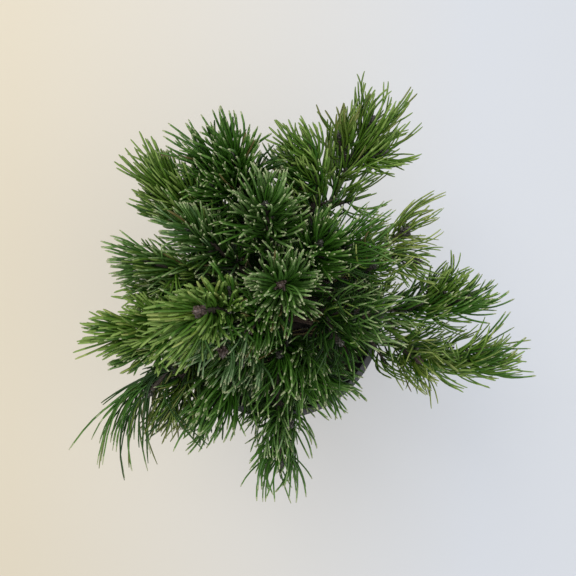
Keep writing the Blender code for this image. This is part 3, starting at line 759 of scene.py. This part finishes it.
# Four plain materials for each green: the dark foot is painted shade, the body is the needle's own green,
# and the upper part and end are painted light, partly the needle's own paler end
def makeNeedleMaterials():
    n = needleSizes
    found = []
    for name, (foot, body, end) in greens.items():
        more = n["upperToEnd"]
        upper = tuple((1 - more) * low + more * high for low, high in zip(body, end))
        for part, shade in (("foot", foot), ("body", body), ("upper", upper), ("end", end)):
            look = Look("needle_" + name + "_" + part, shade, n["roughness"],
                        Specular_IOR_Level=n["specular"])
            found.append(look.material)
    return found


needleMaterials = makeNeedleMaterials()
sheathMaterial = Look("needle_sheath", (0.070, 0.080, 0.066), 0.7).material
# A pale tip, partly the needle's own and partly a painted highlight
tipHighlightMaterial = Look("needle_tip_and_highlight", (0.29, 0.33, 0.17), 0.5).material


# Bark
barkLook = {"detail": 6.0, "rough": 0.65, "darkTo": 0.32, "lightFrom": 0.68, "fineScale": 2.4,
            "fineDark": 0.35, "coarseHeight": 0.7, "fineHeight": 0.3, "bump": 0.6, "depth": 0.4 * mm}
barkSizes = {"scales": 1.3, "roughScale": 1.7, "sunk": 0.75, "trunkFrom": 3.0 * mm}


def barkMaterial(name, deep, light, grain, roughness):
    b = barkLook
    look = Look(name, light, roughness)
    coarse = look.texture("Noise", grain, Detail=b["detail"], Roughness=b["rough"])
    fine = look.texture("Voronoi", grain * b["fineScale"])
    colour = look.ramp(coarse, [(b["darkTo"], deep), (b["lightFrom"], light)])
    look.give(Base_Color=look.mix(fine * b["fineDark"], colour, deep))
    look.bump(coarse * b["coarseHeight"] + fine * b["fineHeight"], b["bump"], b["depth"])
    return look.material


trunkBark = barkMaterial("trunk_bark", (0.034, 0.023, 0.017), (0.165, 0.105, 0.070), 420.0, 0.88)
twigBark = barkMaterial("twig_bark", (0.022, 0.017, 0.013), (0.082, 0.062, 0.044), 700.0, 0.75)


def buildBark(board, inputs):
    # Scales and small bumps push the limb's surface in and out, by its thickness
    b = barkSizes
    result = buildSweep(board, inputs)
    place = board.add("GeometryNodeInputPosition")
    normal = board.add("GeometryNodeInputNormal")
    scales = board.add("ShaderNodeTexVoronoi", {"feature": "DISTANCE_TO_EDGE"},
                       {"Vector": place, "Scale": inputs["Scale"]})
    rough = board.add("ShaderNodeTexNoise", None,
                      {"Vector": place, "Scale": inputs["Scale"] * b["roughScale"]})
    thick = board.named("thickness")
    lift = (scales * b["scales"] + rough - b["sunk"]) * thick * inputs["Relief"]
    push = board.add("ShaderNodeVectorMath", {"operation": "SCALE"}, {0: normal, "Scale": lift})
    result = board.add("GeometryNodeSetPosition", None, {"Geometry": result, "Offset": push})
    return board.realize(board.paint(board.paint(result, twigBark), trunkBark, thick > b["trunkFrom"]))


sweepTree = newModifierTree("needle_sweep", ["Sides"], buildNeedles)
barkTree = newModifierTree("bark_sweep", ["Sides", "Scale", "Relief"], buildBark)
limbSizes = {
    "trunk": {"Sides": 32, "Scale": 260.0, "Relief": 0.10},
    "boughs": {"Sides": 14, "Scale": 420.0, "Relief": 0.16},
    "twigs": {"Sides": 8, "Scale": 600.0, "Relief": 0.20},
}


def makeLimbs(kind, limbs):
    # Limbs of unlike lengths in one mesh of chains
    name = kind + "_bark_relief"
    mesh = bpy.data.meshes.new(name)
    places = np.concatenate([points for points, radii in limbs])
    edges = []
    at = 0
    for points, radii in limbs:
        edges += [(at + number, at + number + 1) for number in range(len(points) - 1)]
        at += len(points)
    mesh.from_pydata(places.tolist(), edges, [])
    writeAttribute(mesh, "thickness", np.concatenate([radii for points, radii in limbs]))
    return grow(name, mesh, barkTree, limbSizes[kind])


# Buds: an egg of pointed scales, with smaller buds round it
budSizes = {
    "length": 10.0 * mm, "width": 3.5 * mm, "narrowing": 0.5, "narrowsBy": 1.6, "rings": 5,
    "levels": (1.0, 0.9, 0.5), "sizes": (0.88, 1.12), "frosted": 0.85, "sunk": 0.35,
    "around": 4, "smaller": 0.55, "smallerSizes": (0.8, 1.1), "down": 0.05, "out": 0.18, "lean": 0.6,
    "scales": 18, "smallScales": 6, "sides": 10, "smallSides": 6,
    "brown": ("centre", "left_high", "right_lower"), "roughness": 0.45, "coat": 0.15,
    "grain": 650.0, "grainDetail": 3.0, "darkTo": 0.35, "lightFrom": 0.70, "bump": 0.3, "depth": 0.3 * mm,
    "shades": {"brown": ((0.026, 0.017, 0.015), (0.120, 0.078, 0.066)),
               "frosted": ((0.017, 0.017, 0.013), (0.072, 0.068, 0.054))},
}
# Each scale of a bud that is one unit long: where it starts, its width, and its corners
scaleSizes = {"from": 0.06, "over": 0.80, "roundness": 0.8, "inset": 0.94, "down": 0.05, "half": 0.14,
              "halfFrom": 1.1, "halfLess": 0.6, "tip": (0.01, 0.22), "peak": (0.06, 0.09),
              "under": (-0.05, 0.08)}


def budWidth(rise):
    b = budSizes
    return b["width"] / b["length"] * (1.0 - b["narrowing"] * rise ** b["narrowsBy"])


def budShape(name, scales, sides):
    # An egg one unit long, with scales by the golden angle that stand a little off it
    s = scaleSizes
    shape = bmesh.new()
    bmesh.ops.create_uvsphere(shape, u_segments=sides, v_segments=budSizes["rings"], radius=1)
    for vert in shape.verts:
        rise = (vert.co.z + 1) / 2
        vert.co = Vector((vert.co.x * budWidth(rise), vert.co.y * budWidth(rise), rise))
    for number in range(scales):
        share = (number + 0.5) / scales
        rise = s["from"] + s["over"] * share
        wide = budWidth(rise) * math.sin(math.acos(2 * rise - 1)) ** s["roundness"]
        turn = goldenAngle * number
        out = Vector((math.cos(turn), math.sin(turn), 0))
        side = Vector((-math.sin(turn), math.cos(turn), 0))
        foot = out * wide * s["inset"] + Vector((0, 0, rise - s["down"]))
        half = s["half"] * (s["halfFrom"] - s["halfLess"] * share)
        tip, peak, under = (foot + out * more + Vector((0, 0, up))
                            for more, up in (s["tip"], s["peak"], s["under"]))
        ring = [shape.verts.new(corner) for corner in (foot - side * half, foot + side * half, tip)]
        peak = shape.verts.new(peak)
        under = shape.verts.new(under)
        for low, high in zip(ring, ring[1:] + ring[:1]):
            shape.faces.new((low, high, peak))
            shape.faces.new((high, low, under))
    bmesh.ops.recalc_face_normals(shape, faces=shape.faces)
    mesh = meshOf(name, shape)
    mesh.shade_smooth()
    return link(name, mesh)


def buildScatter(board, inputs):
    # Stands a copy of the shape on each point, along its aim and at its size
    turn = board.add("FunctionNodeAlignRotationToVector", {"axis": "Z"},
                     {"Vector": board.named("aim", "FLOAT_VECTOR")})
    shape = board.add("GeometryNodeObjectInfo", None, {"Object": inputs["Shape"]}, "Geometry")
    copies = board.add("GeometryNodeInstanceOnPoints", None,
                       {"Points": inputs["Geometry"], "Instance": shape, "Rotation": turn,
                        "Scale": board.named("size")})
    return board.paint(board.realize(copies), inputs["Finish"])


def pointMesh(name, places, aims, sizes):
    mesh = bpy.data.meshes.new(name)
    mesh.from_pydata([tuple(place) for place in places], [], [])
    writeAttribute(mesh, "aim", aims, "FLOAT_VECTOR", "vector")
    writeAttribute(mesh, "size", sizes)
    return mesh


scatterTree = newModifierTree("scatter", ["Shape", "Finish"], buildScatter)


def budMaterial(name, deep, light):
    b = budSizes
    look = Look(name, light, b["roughness"], Coat_Weight=b["coat"])
    spots = look.texture("Noise", b["grain"], Detail=b["grainDetail"])
    look.give(Base_Color=look.ramp(spots, [(b["darkTo"], deep), (b["lightFrom"], light)]))
    look.bump(spots, b["bump"], b["depth"])
    return look.material


def makeBuds(plan, rng):
    # One bud on each shoot, and smaller ones round it on the main shoots
    b = budSizes
    spots = {"buds_brown": [], "small_buds_brown": [], "buds_frosted": [], "small_buds_frosted": []}
    for name, (path, split, shoots) in plan.items():
        look = "brown" if name in b["brown"] else "frosted"
        for shoot in shoots:
            if shoot.level == 3:
                continue
            ahead = tangentsAt(shoot.path, lengthAlong(shoot.path)[-1])
            scale = b["length"] * b["levels"][shoot.level] * rng.uniform(*b["sizes"])
            scale *= habit(shoot, "budSize", 1.0 if look == "brown" else b["frosted"])
            place = shoot.path[-1] - ahead * scale * b["sunk"]
            if shoot.level == 2:
                spots["small_buds_frosted"].append((place, ahead, scale))
                continue
            spots["buds_" + look].append((place, ahead, scale))
            phase = rng.uniform(0, math.tau)
            for number in range(b["around"]):
                outward = around(ahead, phase + math.tau * number / b["around"])
                beside = place - ahead * scale * b["down"] + outward * scale * b["out"]
                size = scale * b["smaller"] * rng.uniform(*b["smallerSizes"])
                spots["small_buds_" + look].append((beside, unit(ahead + outward * b["lean"]), size))
    finishes = {look: budMaterial("bud_" + look, *shades) for look, shades in b["shades"].items()}
    made = []
    for name, found in spots.items():
        counts = ("smallScales", "smallSides") if name.startswith("small") else ("scales", "sides")
        shape = budShape(name + "_shape", *(b[count] for count in counts))
        made.append(grow(name, pointMesh(name, *zip(*found)), scatterTree,
                         {"Shape": shape, "Finish": finishes[name.split("_")[-1]]}))
        remove(shape)
    return made


# Pot
potFinish = {
    "innerBend": 3 * mm, "lipBend": 0.8 * mm, "lipStep": 0.6 * mm, "rings": (118 * mm, 96 * mm),
    "ringOut": 0.5 * mm, "ringFlat": 0.6 * mm, "ringSlope": 1.5 * mm, "draft": 15, "sharpFrom": 35,
    "drillDepth": 12 * mm, "drillSides": 24, "merge": 0.01 * mm, "shade": (0.018, 0.019, 0.021),
    "shine": 0.42, "clean": (0.015, 0.016, 0.018), "dusty": (0.085, 0.080, 0.072),
    "dustScale": 38.0, "dustDetail": 7.0, "dustFrom": 0.45, "dustTo": 0.80, "dust": 0.30,
    "rough": 0.36, "roughDust": 0.25, "roughGrain": 0.08, "grain": 900.0, "bump": 0.25, "depth": 0.1 * mm,
}


def wallRadius(height):
    p = potSizes
    top = p["rimRadius"] - p["rimWidth"] + p["wall"]
    return p["baseRadius"] + (top - p["baseRadius"]) * height / p["height"]


def boreRadius(height):
    return wallRadius(height) - potSizes["wall"]


def arc(centre, radius, start, end, count=6):
    angles = np.radians(np.linspace(start, end, count))
    return [(centre[0] + radius * math.cos(a), centre[1] + radius * math.sin(a)) for a in angles]


def turned(name, profile, sides):
    # A round mesh from (radius, height) points that run down its outer side
    mesh = bpy.data.meshes.new(name)
    mesh.from_pydata([(r, 0, z) for r, z in profile], [(i, i + 1) for i in range(len(profile) - 1)], [])
    piece = link(name, mesh)
    screw = piece.modifiers.new("Turn", "SCREW")
    screw.steps = sides
    screw.render_steps = sides
    screw.use_merge_vertices = True
    screw.merge_threshold = potFinish["merge"]
    settle(piece)
    return piece


def plasticMaterial():
    f = potFinish
    look = Look("pot_plastic", f["shade"], f["shine"])
    dust = look.texture("Noise", f["dustScale"], Detail=f["dustDetail"])
    grain = look.texture("Noise", f["grain"])
    share = look.ramp(dust, [(f["dustFrom"], (0, 0, 0)), (f["dustTo"], (1, 1, 1))])
    look.give(Base_Color=look.mix(share * f["dust"], f["clean"], f["dusty"]))
    look.give(Roughness=f["rough"] + share * f["roughDust"] + grain * f["roughGrain"])
    look.bump(grain, f["bump"], f["depth"])
    return look.material


def potProfile():
    # From the middle of the floor, up the bore, over the rim and down the outer side
    p, f = potSizes, potFinish
    floor = p["wall"]
    bend = f["innerBend"]
    rimFoot = p["height"] - p["rimDrop"]
    edge = p["rimEdge"]
    lip = f["lipBend"]
    profile = [(0, floor), (boreRadius(floor) - bend, floor)]
    profile += arc((boreRadius(floor + bend) - bend, floor + bend), bend, 270, 360, 5)
    profile += arc((boreRadius(p["height"]) + edge, p["height"] - edge), edge, 180, 90)
    profile += arc((p["rimRadius"] - edge, p["height"] - edge), edge, 90, 0)
    profile += arc((p["rimRadius"] - p["rimDraft"] - lip, rimFoot + lip), lip, 0, -90, 4)
    profile.append((wallRadius(rimFoot) + f["lipStep"], rimFoot))
    profile.append((wallRadius(rimFoot), rimFoot - f["lipStep"]))
    slope, flat = f["ringSlope"], f["ringFlat"]
    for height in f["rings"]:
        # Thin moulded rings round the side
        out = wallRadius(height) + f["ringOut"]
        profile += [(wallRadius(height + slope), height + slope), (out, height + flat),
                    (out, height - flat), (wallRadius(height - slope), height - slope)]
    foot = p["footBevel"]
    profile += [(wallRadius(foot), foot)]
    profile += arc((p["baseRadius"] - foot, foot), foot, -f["draft"], -90, 5)
    return profile + [(0, 0)]


def makePot():
    p = potSizes
    pot = turned("nursery_pot", potProfile(), p["sides"])
    drills = bpy.data.collections.new("drills")
    bpy.context.scene.collection.children.link(drills)
    for number in range(p["holes"]):
        shape = bmesh.new()
        bmesh.ops.create_cone(shape, cap_ends=True, segments=potFinish["drillSides"],
                              radius1=p["holeRadius"], radius2=p["holeRadius"],
                              depth=potFinish["drillDepth"])
        drill = bpy.data.objects.new("drill", meshOf("drill", shape))
        drill.location = polar(360 * (number + 0.5) / p["holes"], p["holeRing"], 0)
        drills.objects.link(drill)
    cut = pot.modifiers.new("Drain holes", "BOOLEAN")
    cut.operand_type = "COLLECTION"
    cut.collection = drills
    settle(pot)
    for drill in list(drills.objects):
        remove(drill)
    bpy.data.collections.remove(drills)
    smooth(pot, potFinish["sharpFrom"])
    pot.data.materials.clear()
    pot.data.materials.append(plasticMaterial())
    return pot


# Soil
soilSizes = {
    "relief": 1.56 * mm, "heaps": 14 * mm, "layers": ((1, 1), (2.7, 0.5), (6.1, 0.25)),
    "mound": 1.5 * mm, "moundWide": 24 * mm, "rings": 46, "sides": 128, "gap": 0.3 * mm,
    "bevel": 3 * mm, "sharpFrom": 50, "shade": (0.030, 0.021, 0.015), "rough": 0.95,
    "grain": 160.0, "grainDetail": 8.0, "bump": 0.9, "depth": 1.0 * mm,
    "shades": [(0.30, (0.006, 0.004, 0.003)), (0.55, (0.018, 0.012, 0.008)),
               (0.78, (0.050, 0.034, 0.022))],
}


def soilHeight(x, y):
    # Small heaps and hollows, and a low mound round the trunk
    s = soilSizes
    place = Vector((x / s["heaps"], y / s["heaps"], 0.5))
    rough = sum(share * noise.noise(place * finer) for finer, share in s["layers"])
    mound = s["mound"] * math.exp(-(math.hypot(x, y) / s["moundWide"]) ** 2)
    return potSizes["soilTop"] + s["relief"] * rough + mound


def soilMaterial():
    s = soilSizes
    look = Look("peat", s["shade"], s["rough"])
    coarse = look.texture("Noise", s["grain"], Detail=s["grainDetail"])
    look.give(Base_Color=look.ramp(coarse, s["shades"]))
    look.bump(coarse, s["bump"], s["depth"])
    return look.material


def makeSoil(peat):
    s = soilSizes
    top = potSizes["soilTop"]
    bottom = potSizes["wall"] + s["gap"]
    edge = boreRadius(top) - s["gap"]
    profile = [(edge * number / s["rings"], top) for number in range(s["rings"] + 1)]
    profile += [(boreRadius(bottom) - s["gap"] - s["bevel"], bottom), (0, bottom)]
    soil = turned("peat_soil", profile, s["sides"])
    for vert in soil.data.vertices:
        if vert.co.z > top - mm:
            vert.co.z = soilHeight(vert.co.x, vert.co.y)
    smooth(soil, s["sharpFrom"])
    soil.data.materials.clear()
    soil.data.materials.append(peat)
    return soil


# Lumps on the soil: the least and most size, how flat they lie, and the seed and squash of their shape
lumpSizes = {
    "peat_crumbs": {"count": 2600, "sizes": (0.8 * mm, 4.2 * mm), "flat": 0, "seed": 3,
                    "squash": (1.0, 0.8, 0.7)},
    "bark_chips": {"count": 150, "sizes": (4 * mm, 11 * mm), "flat": 2.2, "seed": 8,
                   "squash": (1.0, 0.55, 0.16)},
    "unevenness": (0.7, 1.2), "smallness": 2.2, "lift": 0.12, "tilt": 0.5,
    "edgeClear": 3 * mm, "trunkClear": 11 * mm,
}


def lumpShape(name, seed, squash):
    # A small angular lump one unit across
    rng = random.Random(seed)
    shape = bmesh.new()
    bmesh.ops.create_icosphere(shape, subdivisions=1, radius=0.5)
    for vert in shape.verts:
        vert.co = vert.co * rng.uniform(*lumpSizes["unevenness"]) * Vector(squash)
    return link(name, meshOf(name, shape))


def onSoil(rng, count, sizes, flat):
    # Points all over the soil, clear of the trunk and of the pot's side
    s = lumpSizes
    low, high = sizes
    found = []
    reach = boreRadius(potSizes["soilTop"]) - s["edgeClear"]
    while len(found) < count:
        x, y = rng.uniform(-reach, reach), rng.uniform(-reach, reach)
        if not s["trunkClear"] < math.hypot(x, y) < reach:
            continue
        size = low + (high - low) * rng.random() ** s["smallness"]
        aim = [rng.uniform(-1, 1), rng.uniform(-1, 1), flat + rng.uniform(-s["tilt"], s["tilt"])]
        found.append(((x, y, soilHeight(x, y) + size * s["lift"]), unit(aim), size))
    return found


def makeLumps(name, finish, rng):
    s = lumpSizes[name]
    shape = lumpShape(name + "_shape", s["seed"], s["squash"])
    spots = zip(*onSoil(rng, s["count"], s["sizes"], s["flat"]))
    piece = grow(name, pointMesh(name, *spots), scatterTree, {"Shape": shape, "Finish": finish})
    remove(shape)
    return piece


litterSizes = {"count": 90, "sizes": (1 * mm, 2 * mm), "lengths": (26, 42), "rises": (-0.04, 0.10),
               "bow": 0.14, "above": 1.0 * mm, "least": 0.7 * mm, "edgeClear": 2 * mm,
               "trunkClear": 12 * mm, "thick": 0.8}


def makeLitter(rng):
    # Dropped needles that lie on the soil
    s = litterSizes
    spines = []
    for (x, y, height), aim, size in onSoil(rng, s["count"], s["sizes"], 0):
        heading = rng.uniform(0, 360)
        length = rng.uniform(*s["lengths"]) * mm
        along = polar(heading, 1, rng.uniform(*s["rises"]))
        side = polar(heading + 90, 1, 0) * rng.uniform(-s["bow"], s["bow"])
        t = (needleShares - 0.5)[:, None]
        spine = np.array([x, y, height + s["above"]]) + along * length * t + side * length * (t * t)
        away = np.hypot(spine[:, 0], spine[:, 1])
        edge = boreRadius(potSizes["soilTop"]) - s["edgeClear"]
        if away.max() < edge and away.min() > s["trunkClear"]:
            spine[:, 2] = np.maximum(spine[:, 2], [soilHeight(*p[:2]) + s["least"] for p in spine])
            spines.append(spine)
    straw = list(greens).index("straw")
    thickness = needleShape * needleSizes["radius"] * s["thick"]
    mesh = spineMesh("dropped", np.array(spines), thickness, straw)
    return grow("dropped_needles", mesh, sweepTree, {"Sides": needleSizes["sides"]})


# The plant
def makeNeedles(name, shoots, rng, dealer):
    n = needleSizes
    box = [np.array(corner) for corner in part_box("needles_" + name)]
    names = list(greens)
    spines, tones, radii = [], [], []
    for shoot in shoots:
        found = needleSpines(shoot, rng, box)
        # Old shoots take only painted shade, and the finer twigs mostly take the mass's fine green, which
        # is often painted shade
        kind = habit(shoot, "greens", masses[name].greens) if shoot.level < 3 else "old"
        *main, fine = dealings[kind]
        choice = main if shoot.level < 2 else (main[0], main[1], fine, fine, fine)
        first = main[shoot.number] if shoot.level < 2 else dealer.choice(choice)
        own = np.full(len(found), names.index(first), float)
        for green in choice:
            own[rng.random(len(found)) < n["otherGreens"]] = names.index(green)
        own[rng.random(len(found)) < n["straws"]] = names.index("straw")
        spines.append(found)
        tones.append(own)
        radii.append(n["radius"] * habit(shoot, "thick", 1) * rng.uniform(*n["radii"], len(found)))
    spines = np.concatenate(spines)
    radii = np.concatenate(radii)[:, None] * needleShape
    mesh = spineMesh("spines_" + name, spines, radii, np.concatenate(tones)[:, None])
    print("needles of", name, len(spines))
    return grow("sprays_" + name, mesh, sweepTree, {"Sides": n["sides"]})


def makeTrunk():
    spine = trunkPath()
    total = lengthAlong(spine)[-1]
    spots = np.linspace(-trunkSizes["below"], total, trunkSizes["points"])
    points = pointsAt(spine, np.clip(spots, 0, total))
    points[:, 2] += np.minimum(spots, 0)
    return makeLimbs("trunk", [(points, trunkRadius(np.maximum(spots, 0)))])


def spotsAlong(length, apart, fewest):
    return np.linspace(0, length, max(fewest, round(length / apart)))


def makeBoughs(plan):
    b = boughSizes
    limbs = []
    for name, (path, split, shoots) in plan.items():
        end = lengthAlong(path)[-1] - twigSizes["budLength"] * twigSizes["inBud"][0]
        spots = spotsAlong(end, b["apart"], b["fewest"])
        start = b["endRadius"] if split > 0 else trunkSizes["tipRadius"]
        beyond = np.clip((spots - split) / (end - split), 0, 1)
        thick = start + (twigSizes["budRadius"] - start) * beyond
        if split > 0:
            share = np.clip(spots / split, 0, 1) ** b["thinning"]
            thin = b["footRadius"] + (b["endRadius"] - b["footRadius"]) * share
            thick = np.where(spots > split, thick, thin)
        limbs.append((pointsAt(path, spots), thick))
    return makeLimbs("boughs", limbs)


def makeTwigs(plan):
    t = twigSizes
    limbs = []
    for name, (path, split, shoots) in plan.items():
        for shoot in shoots[1:]:
            total = lengthAlong(shoot.path)[-1] - t["budLength"] * t["inBud"][shoot.level]
            radius = t["sideRadius"] if shoot.level == 1 else t["fineRadius"]
            end = radius * (1 if shoot.level == 1 else t["fineEnd"])
            spots = spotsAlong(total, t["apart"], t["fewest"])
            thick = np.linspace(radius * t["foot"], end, len(spots))
            limbs.append((pointsAt(shoot.path, spots), thick))
    return makeLimbs("twigs", limbs)


def triangles(piece):
    piece.data.calc_loop_triangles()
    return len(piece.data.loop_triangles)


def main():
    made = []
    dealer = random.Random(7)
    rng = np.random.default_rng(7)
    plan = planShoots(dealer)
    print("shoots:", sum(len(shoots) for path, split, shoots in plan.values()))
    for name, (path, split, shoots) in plan.items():
        piece = makeNeedles(name, shoots, rng, dealer)
        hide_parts("needles_" + name)
        made.append((piece, "needles"))
    trunk = makeTrunk()
    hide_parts("trunk")
    boughs = makeBoughs(plan)
    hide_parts(*["bough_" + name for name in masses if name != middleMass])
    made += [(trunk, "bark"), (boughs, "bark"), (makeTwigs(plan), "bark")]
    made += [(buds, "bark") for buds in makeBuds(plan, dealer)]
    print("limbs and buds made")
    pot = makePot()
    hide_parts("pot")
    peat = soilMaterial()
    soil = makeSoil(peat)
    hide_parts("soil")
    wood = barkMaterial("bark_chips", (0.030, 0.017, 0.010), (0.15, 0.080, 0.045), 350.0, 0.9)
    made += [(pot, "pot_plastic"), (soil, "potting_soil"),
             (makeLumps("peat_crumbs", peat, dealer), "potting_soil"),
             (makeLumps("bark_chips", wood, dealer), "potting_soil"),
             (makeLitter(dealer), "potting_soil")]
    print("pot and soil made")
    for piece, slot in made:
        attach(piece, "root")
        print(piece.name, triangles(piece))
    print("triangles in all:", sum(triangles(piece) for piece, slot in made))


main()


# Stage: a pale floor with painted light on it, soft light and the camera straight above
stageSizes = {"floor": 4.0, "paintedWarmLeft": (0.538, 0.482, 0.378), "cool": (0.495, 0.513, 0.548),
              "roughness": 0.6, "turnsFrom": -0.30, "turnsTo": 0.22, "paintedLightShare": 0.4, "paintedLightGlow": 0.55,
              "cameraPlace": (0.0095, 0.0235, 0.749), "lens": 41.7, "sensor": 36, "nearest": 0.01}
# Each light's place, size (m), watts and colour
lights = {
    "window": ((-0.9, 1.1, 1.8), 1.4, 31.0, (1.0, 0.985, 0.95)),
    "ceiling": ((0.2, -0.1, 2.2), 2.2, 26.0, (1.0, 0.99, 0.98)),
    "door": ((1.5, -0.6, 1.3), 1.4, 9.0, (0.90, 0.95, 1.0)),
}
room = {"aim": (0, 0, 0.2), "colour": (0.93, 0.96, 1.0), "strength": 0.56}


def floorMaterial():
    # Pale all over, with painted warm light on the left that turns to painted cool light on the right,
    # and a glow of painted light that lightens the plant's shadow on the floor
    s = stageSizes
    look = Look("floor_pale", s["paintedWarmLeft"], s["roughness"])
    sideways = look.add("ShaderNodeSeparateXYZ", None, {"Vector": look.place()}, "X")
    share = (sideways - s["turnsFrom"]) * (1 / (s["turnsTo"] - s["turnsFrom"]))
    share = look.add("ShaderNodeClamp", None, {"Value": share})
    colour = look.mix(share, s["paintedWarmLeft"], s["cool"])
    # Part of the floor's brightness is a glow of painted light, so that shadow on it stays light
    look.give(Base_Color=look.mix(s["paintedLightShare"], colour, (0, 0, 0)), Emission_Color=colour,
              Emission_Strength=s["paintedLightGlow"])
    return look.material


def makeStage():
    s = stageSizes
    bpy.ops.mesh.primitive_plane_add(size=s["floor"])
    floor = bpy.context.object
    floor.name = "floor"
    floor.data.materials.append(floorMaterial())
    camera = link("camera", bpy.data.cameras.new("camera"))
    camera.location = s["cameraPlace"]
    camera.data.lens = s["lens"]
    camera.data.sensor_width = s["sensor"]
    camera.data.clip_start = s["nearest"]
    bpy.context.scene.camera = camera


def makeLights():
    # Each one faces the plant
    for name, (place, size, power, colour) in lights.items():
        light = bpy.data.lights.new(name, "AREA")
        light.size = size
        light.energy = power
        light.color = colour
        lamp = link(name, light)
        lamp.location = place
        aim = Vector(room["aim"]) - Vector(place)
        lamp.rotation_euler = aim.to_track_quat("-Z", "Y").to_euler()
    world = bpy.data.worlds.new("room")
    world.use_nodes = True
    background = world.node_tree.nodes["Background"]
    background.inputs["Color"].default_value = rgba(room["colour"])
    background.inputs["Strength"].default_value = room["strength"]
    bpy.context.scene.world = world
    bpy.context.scene.view_settings.view_transform = "Standard"


makeStage()
makeLights()
print("stage set")
